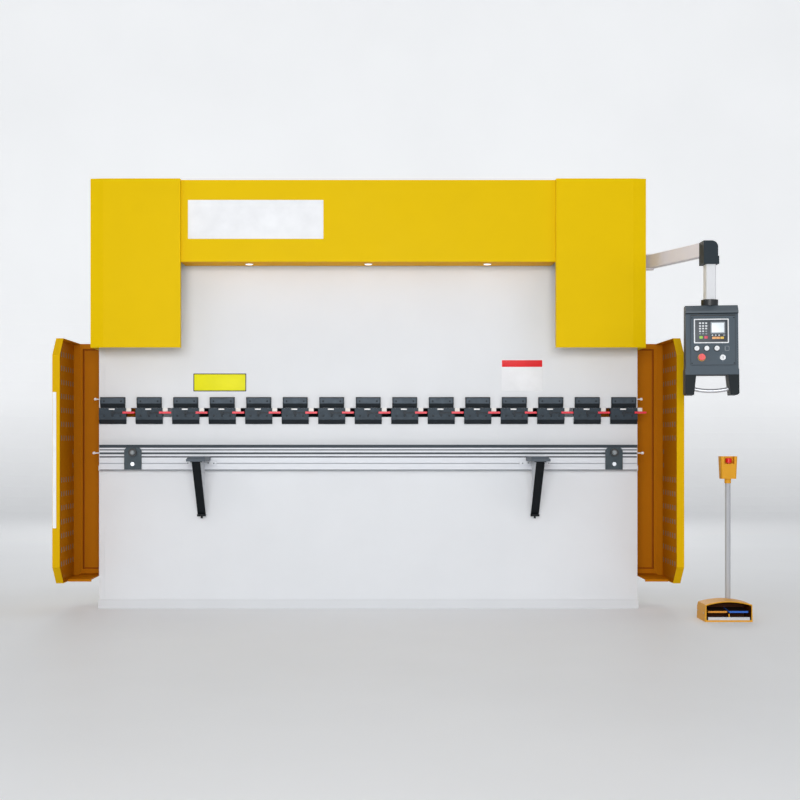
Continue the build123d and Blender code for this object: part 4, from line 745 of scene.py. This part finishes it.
def finish_frame():
    """White housings and ram with grey bearings, lugs and bright guides; the yellow top cover, with
    orange painted shade on its underside; the pump set and the gauge's guides."""
    bearing_radius, housing_side, guide_side, motor_front = 66 * MM, 1299.5 * MM, 1.27, 0.481
    for side, _ in SIDES:
        f = faces_of(f"side_frame_{side}")
        near_shaft = np.hypot(f.y - torsion_y, f.z - torsion_z) < bearing_radius
        finish(f"side_frame_{side}", "white_powder_coat",
               ("machine_grey", near_shaft & (f.off < housing_side)))
    f = faces_of("ram_plate")
    behind = f.y > bed_back + 0.1 * MM
    finish("ram_plate", "white_powder_coat",
           ("ground_steel", behind & (f.off > guide_side)),
           ("dark_steel", behind & (f.off < guide_side)),
           ("bright_studs", f.off > bed_high[0] + 0.1 * MM))
    f = faces_of("top_cover")
    # painted shade: the top cover's downward faces along its lower edge
    lip = (f.nz < -0.5) & (f.z < cover_low[2] + 1 * MM)
    finish("top_cover", "yellow_powder_coat", ("cover_lower_lip", lip))
    finish("pump_motor", "motor_enamel", ("machine_grey", faces_of("pump_motor").x < motor_front))
    rail_top = faces_of("gauge_guides").z > gauge_top - 13 * MM
    finish("gauge_guides", "machine_grey", ("ground_steel", rail_top))


def finish_rail():
    """Pale anodised face and dark cap strip, with painted shade in the slots and grey painted shade
    on the downward lower chamfer.
    """
    f = faces_of("support_rail")
    sunk = f.y > rail_face + 0.3 * MM

    def slot(middle, height):
        low, high = mm(middle - height / 2 - 0.6, middle + height / 2 + 0.6)
        return sunk & within(f.z, low, high)

    finish("support_rail", "rail_front",
           ("rail_cap", (f.nz > 0.5) & (f.z > rail_high[2] - 0.5 * MM)),
           # painted shade: the downward lower chamfer and the slots' sunk faces
           ("rail_lower_edge", (f.nz < -0.3) & (f.ny < -0.3) & (f.z < rail_low[2] + 9 * MM)),
           ("rail_slot_floor", slot(938.7, 7.0)),
           ("rail_slot_deep", slot(918.4, 12.0) | slot(897.5, 8.0)),
           ("rail_faint_slot", slot(859.0, 5.0)),
           ("bright_studs", f.off > bed_high[0] - 3 * MM))


def finish_clamps():
    """Holders and jaws are dark steel, their bevels painted darker as shade; the wedges between
    them are bright.
    """
    lip, wedge_thickness, wedge_height, grip_start = clamp_face + 5 * MM, *mm(10, 21, 60.5)
    f = faces_of("clamp_holders")
    wedge = within(f.y, lip, lip + wedge_thickness)
    wedge &= within(f.z, ram_bottom - wedge_height, ram_bottom)
    # painted shade: bevels that face the front and also up or down
    bevel = (f.ny < -0.3) & (np.abs(f.nz) > 0.2)
    finish("clamp_holders", "clamp_holder_steel",
           ("clamp_bevel_steel", bevel), ("wedge_steel", wedge))
    f = faces_of("clamp_jaws")
    finish("clamp_jaws", "jaw_steel", ("clamp_bevel_steel", (f.ny < -0.3) & (np.abs(f.nz) > 0.2)))
    for name, x in zip(lever_names, clamp_x):
        mesh = nodes[name].data
        triangles = read(mesh.loops, "vertex_index", np.int32)
        lowest_x = read(mesh.vertices, "co")[triangles, 0].min(axis=1)
        finish(name, "dark_steel", ("red_grip", lowest_x > x + grip_start))


def finish_guards():
    """The sheet is yellow outside; where it faces the machine its yellow is darkened to amber as
    painted shade, and the downward face of its top lip gets a lighter amber as a painted highlight.
    The rear guard is black, and that black also stands in for the shade seen between the clamps.
    The painted shade stops at the sheet's edges and at the two corners that are cut aslant, a line
    where y / width + z / height is 1."""
    sheet_inside, sheet_outside = 1737.1 * MM, 1778 * MM
    cut_width, cut_height = 0.095, 0.100
    for side, _ in SIDES:
        name = f"guard_door_{side}"
        low, high = corners_of(name)
        f = faces_of(name)
        across, above, below = f.y - low[1], f.z - low[2], high[2] - f.z
        clear = np.minimum.reduce([across, above, below]) > 1.2 * MM
        aslant = across / cut_width + np.minimum(above, below) / cut_height > 1.018
        sheet = (f.off < sheet_outside) & (f.off > sheet_inside)
        # painted highlight: the downward face of the door's top lip gets a lighter amber
        lip_painted_highlight = (f.nz < -0.5) & (f.z > high[2] - 3 * MM)
        # painted shade: the sheet's inside faces get amber, their yellow darkened
        finish(name, "yellow_coat_edge",
               ("amber_inner_coat", sheet & clear & aslant), ("amber_band_coat", lip_painted_highlight))
    f = faces_of("guard_frames")
    # painted shade: the steps round each rear panel's sunk field
    recess = within(f.y, 0.1201, 0.1389) & (np.abs(f.ny) < 0.5) & (f.off < 1.7235)
    outside = (f.off > 1778.5 * MM) | ((f.ny > 0.5) & (f.y < 0.5))
    # painted shade: the rear panels get the same amber as the doors' insides
    finish("guard_frames", "amber_inner_coat", ("amber_recess_coat", recess),
           # the rear guard's black paint also stands in for the shade seen through the gaps between
           # the clamps
           ("yellow_powder_coat", outside), ("black_paint", f.y > 1.0))


def finish_supports():
    """Dark tables and stays with a pale web and slider; dark carriages with a grey knob cap."""
    table_thickness, slider_height, slider_depth, web_depth = mm(27, 28, 14.6, 180)
    plate_front, cap_radius = rail_face - 12.6 * MM, 15.5 * MM
    for side, _ in SIDES:
        name = f"support_arm_{side}"
        f = faces_of(name)
        table_low = corners_of(name)[1][2] - table_thickness
        rest = f.z < table_low - 0.5 * MM
        slider = rest & (f.z > table_low - slider_height) & (f.y > rail_face - slider_depth)
        web = rest & (np.abs(f.nx) > 0.9) & (f.y > rail_face - web_depth)
        finish(name, "support_table_paint",
               ("black_paint", rest), ("arm_web_paint", web), ("rail_face", slider))
        name = f"rail_carriage_{side}"
        finish(name, "carriage_plate", ("screw_steel", faces_of(name).y < plate_front))
        name = f"carriage_knob_{side}"
        f = faces_of(name)
        x, _, z = place_of(f"{name}_turn")
        finish(name, "black_plastic", ("knob_cap", np.hypot(f.x - x, f.z - z) < cap_radius))


def finish_pendant():
    """Pale tubes with a slate elbow; a slate box with a two-tone front, hood, neck and handle."""
    elbow_width, elbow_depth, elbow_low = mm(46, 52.5, 1956.5)
    f = faces_of("pendant_arm")
    elbow = (np.abs(f.x - swivel[0]) < elbow_width) & (np.abs(f.y - swivel[1]) < elbow_depth)
    finish("pendant_arm", "arm_tube_paint", ("drop_tube_paint", f.z < elbow_low + 1 * MM),
           ("slate_paint", elbow & (f.z > elbow_low)))

    front_top, hood_low, hood_high, handle_top = mm(1690, 1684, 1731.2, 1292)
    lean = np.tan(np.radians(4.5))
    handle_depth = (55 + (1731 - 1242) * lean - 65) / 2 * MM
    f = faces_of("pendant_box")
    across = (f.middle - panel_middle) @ panel_across
    lift = (f.middle - panel_middle) @ panel_out
    depth = (f.middle - swivel) @ level_out
    facing = f.normal @ panel_out
    handle = (np.abs(across) < 104.5 * MM) & (f.z < handle_top)
    finish("pendant_box", "slate_paint",
           ("pendant_front", (facing > 0.9) & (lift > -4 * MM) & (f.z < front_top)),
           ("pendant_hood_paint", (facing > 0.5) & (f.z > hood_low) & (f.z < hood_high)),
           ("black_plastic", f.z > hood_high),
           ("handle_metal", handle & (np.abs(depth - handle_depth) < 12 * MM)))


def finish_pedal():
    """Yellow housing with painted shade inside it, a pale step across its front and a grey pole;
    treadles with coloured fronts and dark treads."""
    front = corners_of("pedal_stand")[0][1]
    middle, half = place_of("treadle_left_press")[0] + 58 * MM, 128 * MM
    floor_top, roof_low, step_top, pole_low, pole_high = mm(9.9, 108.5, 26.2, 114, 754.9)
    f = faces_of("pedal_stand")
    across = np.abs(f.x - middle)
    outer_roof = (f.nz > 0.3) & (f.z > 60 * MM)
    # painted shade: the faces inside the housing, below its roof
    inside = (across < half - 4.5 * MM) & (f.z > floor_top) & (f.z < roof_low) & ~outer_roof
    inside &= (f.y > front + 3 * MM) & (f.y < -484.9 * MM)
    step = (across < half - 13.5 * MM) & (f.z > floor_top) & (f.z < step_top)
    step &= f.y < front + 12.5 * MM
    finish("pedal_stand", "pedal_yellow", ("pedal_inside", inside), ("step_paint", step),
           ("pole_paint", (f.z > pole_low) & (f.z < pole_high)))
    for name, colour in (("treadle_left", "treadle_orange"), ("treadle_right", "treadle_blue")):
        finish(name, colour, ("tread_rubber", faces_of(name).nz > 0.5))


# ---- Clamps ----
def bright_piece(name, shapes):
    """A piece of bright steel on the fixed frame."""
    add_piece(name, shapes, "screw_steel")


def make_clamp_screws():
    """Two black screws in each holder and three in each jaw, and the bright wedge noses."""
    for name, z, spacing, size in (("holder_screws", 1226.5, (-51, 51), (5.6, 1.2)),
                                   ("jaw_screws", 1140.6, (-48, 0, 48), (6.2, 1.4))):
        places = [(x + dx * MM, clamp_face, z * MM) for x in clamp_x for dx in spacing]
        add_piece(name, screws_at(places, TOWARD, *size), "black_screws", "ram")
    edge = soft_edge(3.2 * MM, 0.8 * MM)
    places = [(x - 5 * MM, clamp_face + 5 * MM, ram_bottom - 7.75 * MM) for x in clamp_x]
    noses = [slab(place, TOWARD, *mm(17.4, 3.7, 3.4), edge) for place in places]
    add_piece("wedge_noses", noses, "wedge_nose", "ram")


# ---- Blank plates ----
def make_plates():
    """Thin blank plates where such machines carry their signs. Each has its X and Z limits, the Y
    of the face it lies on, its look, a slot name that is not used, and its corner radius."""
    upper, guard_front, thickness = bed_face - 0.8 * MM, -0.430, 1.5 * MM
    white, yellow = ("white_plate", "white_paint"), ("yellow_plate", "yellow_paint")
    for name, body, x, z, face_y, look, slot, *radius in (
        ("front_plate_blank", "frame", (-1.040, -0.259), (2.158, 2.382), cover_low[1], *white,
         1.5 * MM),
        ("yellow_plate_border", "ram", (-1.036, -0.723), (1.285, 1.391), bed_face,
         "plate_border", "knob_black"),
        ("yellow_plate_blank", "ram", (-1.0305, -0.7285), (1.2905, 1.3855), upper, *yellow),
        ("white_plate_blank", "ram", (0.789, 1.034), (1.288, 1.473), bed_face, *white),
        ("guard_strip_blank", "guard_door_left", (-1.7775, -1.7565), (0.500, 1.267), guard_front,
         *white),
        ("white_plate_band", "ram", (0.792, 1.031), (1.430, 1.470), upper, "red_band", "stop_red"),
    ):
        centre = ((x[0] + x[1]) / 2, face_y, (z[0] + z[1]) / 2)
        size = (x[1] - x[0]) / 2, (z[1] - z[0]) / 2, *(radius or [3 * MM])
        plate = slab(centre, TOWARD, *size, soft_edge(thickness, thickness * 0.4))
        add_piece(name, [plate], look, body)


# ---- Work lights ----
def make_lenses():
    """Lit lenses under the three lamps, shallow domes with r = R cos a and h = H sin a, and the
    bright rings round them."""
    under = corners_of("work_lights")[0][2]
    places = [(x, -0.145, under) for x in (-0.695, 0.0, 0.695)]
    turn = np.linspace(0, np.pi / 2 * 0.98, 7)
    dome = [(21 * MM * np.cos(a), 3 * MM * np.sin(a)) for a in turn]
    lenses = [turned(dome, place, -UP, 28) for place in places]
    add_piece("lamp_lenses", lenses, "lamp_lens")
    collar = mm((21.6, 0), (23.6, 0), (23.2, 1.6), (21.8, 1.6))
    bright_piece("lamp_rings", [ring_of(collar, place, -UP) for place in places])


# ---- Pendant front: distances across, up and outward are in millimetres ----
def at_panel(across, up, lift=0.0):
    """The point at a distance across, up and outward from the middle of the pendant's panel."""
    return panel_middle + MM * (across * panel_across + up * panel_up + lift * panel_out)


def panel_slab(across, up, half_width, half_height, lift, thick, radius):
    """A rounded plate lying on the pendant's panel."""
    return slab(at_panel(across, up, lift), panel_out, *mm(half_width, half_height, radius),
                soft_edge(thick * MM, thick * 0.35 * MM), up=panel_up)


def panel_window(across, up, outer, inner, radius, thick, lift=0.0):
    """A rounded frame lying on the pendant's panel."""
    return window_frame(at_panel(across, up, lift), panel_out, mm(*outer), mm(*inner),
                        radius * MM, thick * MM, up=panel_up)


def panel_piece(name, shapes, look):
    """A piece that rides on the pendant's box."""
    add_piece(name, shapes, look, "pendant_box")


def make_controller():
    """The controller in the pendant: pale frame, dark face, key pad, screen and coloured keys. A
    piece's rows are across, up, half width, half height, lift, thickness and corner radius."""
    middle, face, screen, pad = (-3.5, 49.0), 1.4, (31.1, 66.5), (-63.0, -46.8, -30.5)
    white, grey, orange = "button_white", "pendant_grey", "treadle_orange"
    rim = panel_window(*middle, (92.5, 67), (86.5, 61), 4, 3)
    surround = panel_window(*screen, (38.5, 32), (33.0, 26.4), 2.5, 1.6, lift=1.2)
    sign = panel_window(78.4, -46.7, (12, 13), (10.2, 11.2), 5, 0.6)
    keys = [(u, v, 5.4, 4.3, face, 1.4, 1.2) for u in pad for v in (91.9, 76.4, 62.3)]
    keys += [(u, 47.9, 5.0, 3.9, face, 1.2, 1.2) for u in pad[:2]]
    dim = [(u, v, 4.6, 3.6, face, 1.0, 1.2) for u, v in ((pad[2], 47.9), *((u, 34.2) for u in pad))]
    small = [(u, 25.5, 4.2, 3.6, face, 1.3, 3.4) for u in (2.0, 19.4, 37.3)]
    bars = [(u, 10.8, 9.8, 6.2, face, 1.5, 2.0) for u in (10.6, 31.6)]
    for name, shapes, rows, look, slot in (
        ("controller_frame", [rim], [], "white_plastic", white),
        ("controller_face", [], [(*middle, 86.4, 60.9, 0.0, face, 2.0)], "controller_face", grey),
        ("keypad_keys", [], keys, "white_keys", white),
        ("keypad_dim_keys", [], dim, "grey_keys", grey),
        ("screen_surround", [surround], [], "grey_keys", grey),
        ("controller_screen", [], [(*screen, 32.8, 26.2, 1.2, 0.8, 1.0)], "screen_glow", white),
        ("function_keys", [], small, "white_keys", white),
        ("menu_key", [], [(63.7, 25.5, 6.0, 3.4, face, 1.1, 1.5)], "grey_keys", grey),
        ("start_key", [], [(-58.0, 14.3, 9.5, 7.3, face, 1.8, 5.5)], "green_key", white),
        ("stop_key", [], [(-32.0, 14.3, 9.5, 7.3, face, 1.8, 5.5)], "red_key", "stop_red"),
        ("amber_keys", [], bars, "amber_key", orange),
        ("yellow_key", [], [(53.0, 10.8, 9.4, 6.2, face, 1.5, 2.0)], "yellow_key", orange),
        ("symbol_outline", [sign], [(70.5, -46.7, 0.9, 9.0, 0.0, 0.6, 0.4)], "grey_keys", grey),
    ):
        panel_piece(name, shapes + [panel_slab(*row) for row in rows], look)


def make_panel_edges():
    """A thin seam round the panel, the dark gasket line under the hood and four corner screws."""
    seam = panel_window(5.0, 0.5, (119.2, 137.8), (116.6, 135.2), 5, 0.7)
    panel_piece("panel_seam", [seam], "panel_seam")
    gasket = panel_slab(5.0, 134.0, 119.0, 2.2, 0.0, 1.6, 1.0)
    panel_piece("hood_gasket", [gasket], "black_plastic")
    places = [at_panel(u, v) for u in (-106.0, 116.0) for v in (-127.0, 122.0)]
    screws = screws_at(places, panel_out, 3.4, 1.6)
    panel_piece("panel_screws", screws, "black_screws")


def bezel(across, up, radius, inset, foot, shoulder):
    """A turned ring with a rounded lip round a control. The lip starts inside the radius by inset
    and ends outside it by foot, or by shoulder at its top."""
    lip = [(radius - inset, 0.0), (radius + foot, 0.0), (radius + foot, 1.4),
           (radius + shoulder, 2.4), (radius, 2.4)]
    if inset:
        lip.append((radius - inset, 1.4))
    return ring_of(mm(*lip), at_panel(across, up), panel_out)


def make_bezels():
    """Rings round the pendant's controls, dark except at the key, and plain marks on them."""
    left, middle, right = (-81.0, -46.5), (-28.5, -46.5), (25.0, -46.5)
    key, stop = (56.0, -96.0), (-55.5, -96.0)
    rings = [bezel(*place, 14.0, 0.6, 3.2, 2.2) for place in (left, middle, right)]
    panel_piece("button_rings", rings, "button_ring")
    panel_piece("key_ring", [bezel(*key, 13.6, 0.6, 1.8, 1.0)], "screw_steel")
    panel_piece("estop_plate", [bezel(*stop, 18.5, 0.0, 2.2, 1.2)], "yellow_key")
    for control, place, size in (("button_a", left, (0.8, 6.5)),
                                 ("button_c", right, (6.0, 0.8)),
                                 ("key", key, (1.4, 7.0))):
        body = f"pendant_{control}"
        points = read(nodes[body].data.vertices, "co")
        front = ((points - panel_middle) @ panel_out).max() / MM
        shape = slab(at_panel(*place, front), panel_out, *mm(*size, 0.5),
                     soft_edge(0.4 * MM, 0.1 * MM), up=panel_up)
        add_piece(f"{control}_mark", [shape], "grey_keys", body)
    ticks = [panel_slab(key[0], v, 0.8, 2.8, 0.0, 0.4, 0.3) for v in (-72.0, -119.0)]
    panel_piece("key_ticks", ticks, "grey_keys")


# ---- Guards ----
def make_vent_screens():
    """Fine grey screens held in the thickness of the door sheets, one strip behind each row of
    slots; the two blank rows are short."""
    rows, short_rows, lowest, pitch = 16, (7, 8), 279.0, 81.0
    near, far, near_short = -281.0, 107.0, 79.0
    for side, sign in SIDES:
        strips = []
        for row in range(rows):
            start = near_short if row in short_rows else near
            middle = mm(sign * 1777.4, (start + far) / 2, lowest + pitch * row)
            half = mm((far - start) / 2, 17, 1)
            strips.append(slab(middle, sign * RIGHT, *half, [(0.0, 0.0), (0.0, 0.7 * MM)]))
        add_piece(f"vent_screens_{side}", strips, "vent_screen",
                  f"guard_door_{side}")


def make_guard_recess_shade():
    """Thin strips of painted shade round the recessed field of each rear panel, where its border
    lies in shade. A run has its middle along X, its lowest Z, half its length and its height."""
    runs = ((1719.25, 220, 3.75, 1325), (1547.75, 220, 167.75, 7), (1661.25, 1538, 54.25, 7))
    for side, sign in SIDES:
        shade_strips = []
        for middle, low, half, height in mm(*runs):
            base, ends = (sign * middle, 138.2 * MM, low), [(0.0, 0.0), (0.0, height)]
            shade_strips.append(slab(base, UP, half, 1 * MM, 0.2 * MM, ends, up=BACKWARD))
        add_piece(f"guard_recess_shade_{side}", shade_strips, "amber_recess_coat")


# ---- Support arms ----
def make_arm_screws():
    """Four small screws in each slider."""
    face = rail_face - 14.3 * MM
    places = ((0.941, 0.8625), (0.9076, 0.8600), (1.0185, 0.8610), (1.0610, 0.8610))
    for side, sign in SIDES:
        screws = screws_at([(sign * x, face, z) for x, z in places], TOWARD, 4.2, 1.4)
        add_piece(f"slider_screws_{side}", screws, "knob_cap", f"support_arm_{side}")


# ---- Sides, rear and top ----
def make_cover_screws():
    """Two rows of five screws down the flank of each side cover."""
    screws = []
    for side, sign in SIDES:
        low, high = corners_of(f"side_cover_{side}")
        x = low[0] if sign < 0 else high[0]
        rows = low[1] + 60 * MM, high[1] - 30 * MM
        heights = np.linspace(low[2] + 60 * MM, high[2] - 60 * MM, 5)
        screws += screws_at([(x, y, z) for y in rows for z in heights], sign * RIGHT, 7, 2.4)
    bright_piece("cover_screws", screws)


def make_tank_fittings():
    """A sight glass and two bolted hatches on the rear of the tank."""
    glass_place = (-0.55, tank_back, 2.26)
    frame_sides = window_frame(glass_place, BACKWARD, mm(20, 78), mm(9, 64), *mm(10, 5))
    bright_piece("sight_glass_frame", [frame_sides])
    glass = slab(glass_place, BACKWARD, *mm(9.4, 64.4, 7), soft_edge(3 * MM, 1.5 * MM))
    add_piece("sight_glass", [glass], "oil_glass")
    profile = mm((95, 0), (95, 7), (93, 9), (66, 9), (62, 12), (10, 12))
    hatch_x, hatch_z, rim = (-0.2, -0.9), 2.27, 9 * MM
    hatches = [turned(profile, (x, tank_back, hatch_z), BACKWARD, 40) for x in hatch_x]
    add_piece("tank_hatches", hatches, "white_powder_coat")
    middles = [(x, tank_back + rim, hatch_z) for x in hatch_x]
    places = [place for middle in middles for place in round_places(middle, BACKWARD, 80 * MM, 8)]
    bright_piece("hatch_bolts", screws_at(places, BACKWARD, 6, 5, hex_bolt))


def make_pump_fittings():
    """Flange bolts, block plugs, terminal lid screws and the cowl grille of the pump motor."""
    axis_y, axis_z, flange_x, cowl_x = 0.750, 2.236, 0.480, 0.926
    flange = round_places((flange_x, axis_y, axis_z), -RIGHT, 71 * MM, 6, phase=0.5)
    plugs = [(x, 0.640, z) for x in (0.31, 0.35, 0.39) for z in (2.15, 2.21)]
    lid = [(x, y, 2.374) for x in (0.592, 0.688) for y in (0.712, 0.788)]
    bolts = screws_at(flange, -RIGHT, 6.5, 8, socket_screw)
    bolts += screws_at(plugs, BACKWARD, 10, 8, hex_bolt) + screws_at(lid, UP, 4, 2)
    bright_piece("pump_bolts", bolts)
    rings = []
    for inner in (22, 34, 46, 58, 70):
        outer, height = inner + 4, 1.6
        profile = mm((inner, 0), (outer, 0), (outer, height), (inner, height))
        rings.append(ring_of(profile, (cowl_x, axis_y, axis_z), RIGHT, 36))
    add_piece("cowl_grille", rings, "black_plastic")


def make_cabinet_fittings():
    """A latch and two hinges on the cabinet's door."""
    latch_y, latch_z, thickness = 0.54, 1.14, 4 * MM
    foot, top = ((cabinet_side + lift, latch_y, latch_z) for lift in (0.0, thickness))
    plate = slab(foot, RIGHT, *mm(14, 42, 8), soft_edge(thickness, 2 * MM))
    boss = turned(mm((11, 0), (11, 3), (4, 4)), top, RIGHT, 24)
    add_piece("cabinet_latch", [plate, boss], "black_plastic")
    barrel = mm((6, 0), (7, 1), (7, 69), (6, 70))
    places = [(cabinet_side - 1 * MM, 1.026, z) for z in (0.90, 1.31)]
    bright_piece("cabinet_hinges", [turned(barrel, place, UP) for place in places])


def make_bearing_bolts():
    """Screws round the torsion shaft's bearings."""
    screws = []
    for _, sign in SIDES:
        inward = -sign * RIGHT
        places = round_places((sign * 1.240, torsion_y, torsion_z), inward, 54 * MM, 6)
        screws += screws_at(places, inward, 5.5, 6, socket_screw)
    bright_piece("bearing_bolts", screws)


def make_rear_screws():
    """Screws along the rear guard, and down the sides of the pendant's rear cover."""
    guard_back, end = 1093 * MM, 1.29
    places = [(x, z) for x in (-end, -end / 2, 0.0, end / 2, end) for z in (0.36, 1.39)]
    places += [(x, z) for x in (-end, end) for z in (0.70, 1.05)]
    places = [(x, guard_back, z) for x, z in places]
    bright_piece("rear_guard_screws", screws_at(places, BACKWARD, 8, 2.5))
    back = -level_out
    places = [np.array([swivel[0], swivel[1], z]) + across * panel_across + 65 * MM * back
              for across in mm(-118, 130) for z in (1.400, 1.540, 1.690)]
    screws = screws_at(places, back, 4.5, 2)
    add_piece("pendant_rear_screws", screws, "screw_steel", "pendant_box")


def make_pedal_screws():
    """Two cover screws on each flank of the foot switch."""
    left, screws = corners_of("pedal_stand")[0][0], []
    for x, outward in ((left, -RIGHT), (left + 256 * MM, RIGHT)):
        screws += screws_at([(x, y, 0.045) for y in (-0.60, -0.47)], outward, 4.5, 2)
    bright_piece("pedal_screws", screws)


make_camera()
make_studio()
finish_plain()
finish_frame()
finish_rail()
finish_clamps()
finish_guards()
finish_supports()
finish_pendant()
finish_pedal()
make_clamp_screws()
make_plates()
make_lenses()
make_controller()
make_panel_edges()
make_bezels()
make_vent_screens()
make_guard_recess_shade()
make_arm_screws()
make_cover_screws()
make_tank_fittings()
make_pump_fittings()
make_cabinet_fittings()
make_bearing_bolts()
make_rear_screws()
make_pedal_screws()
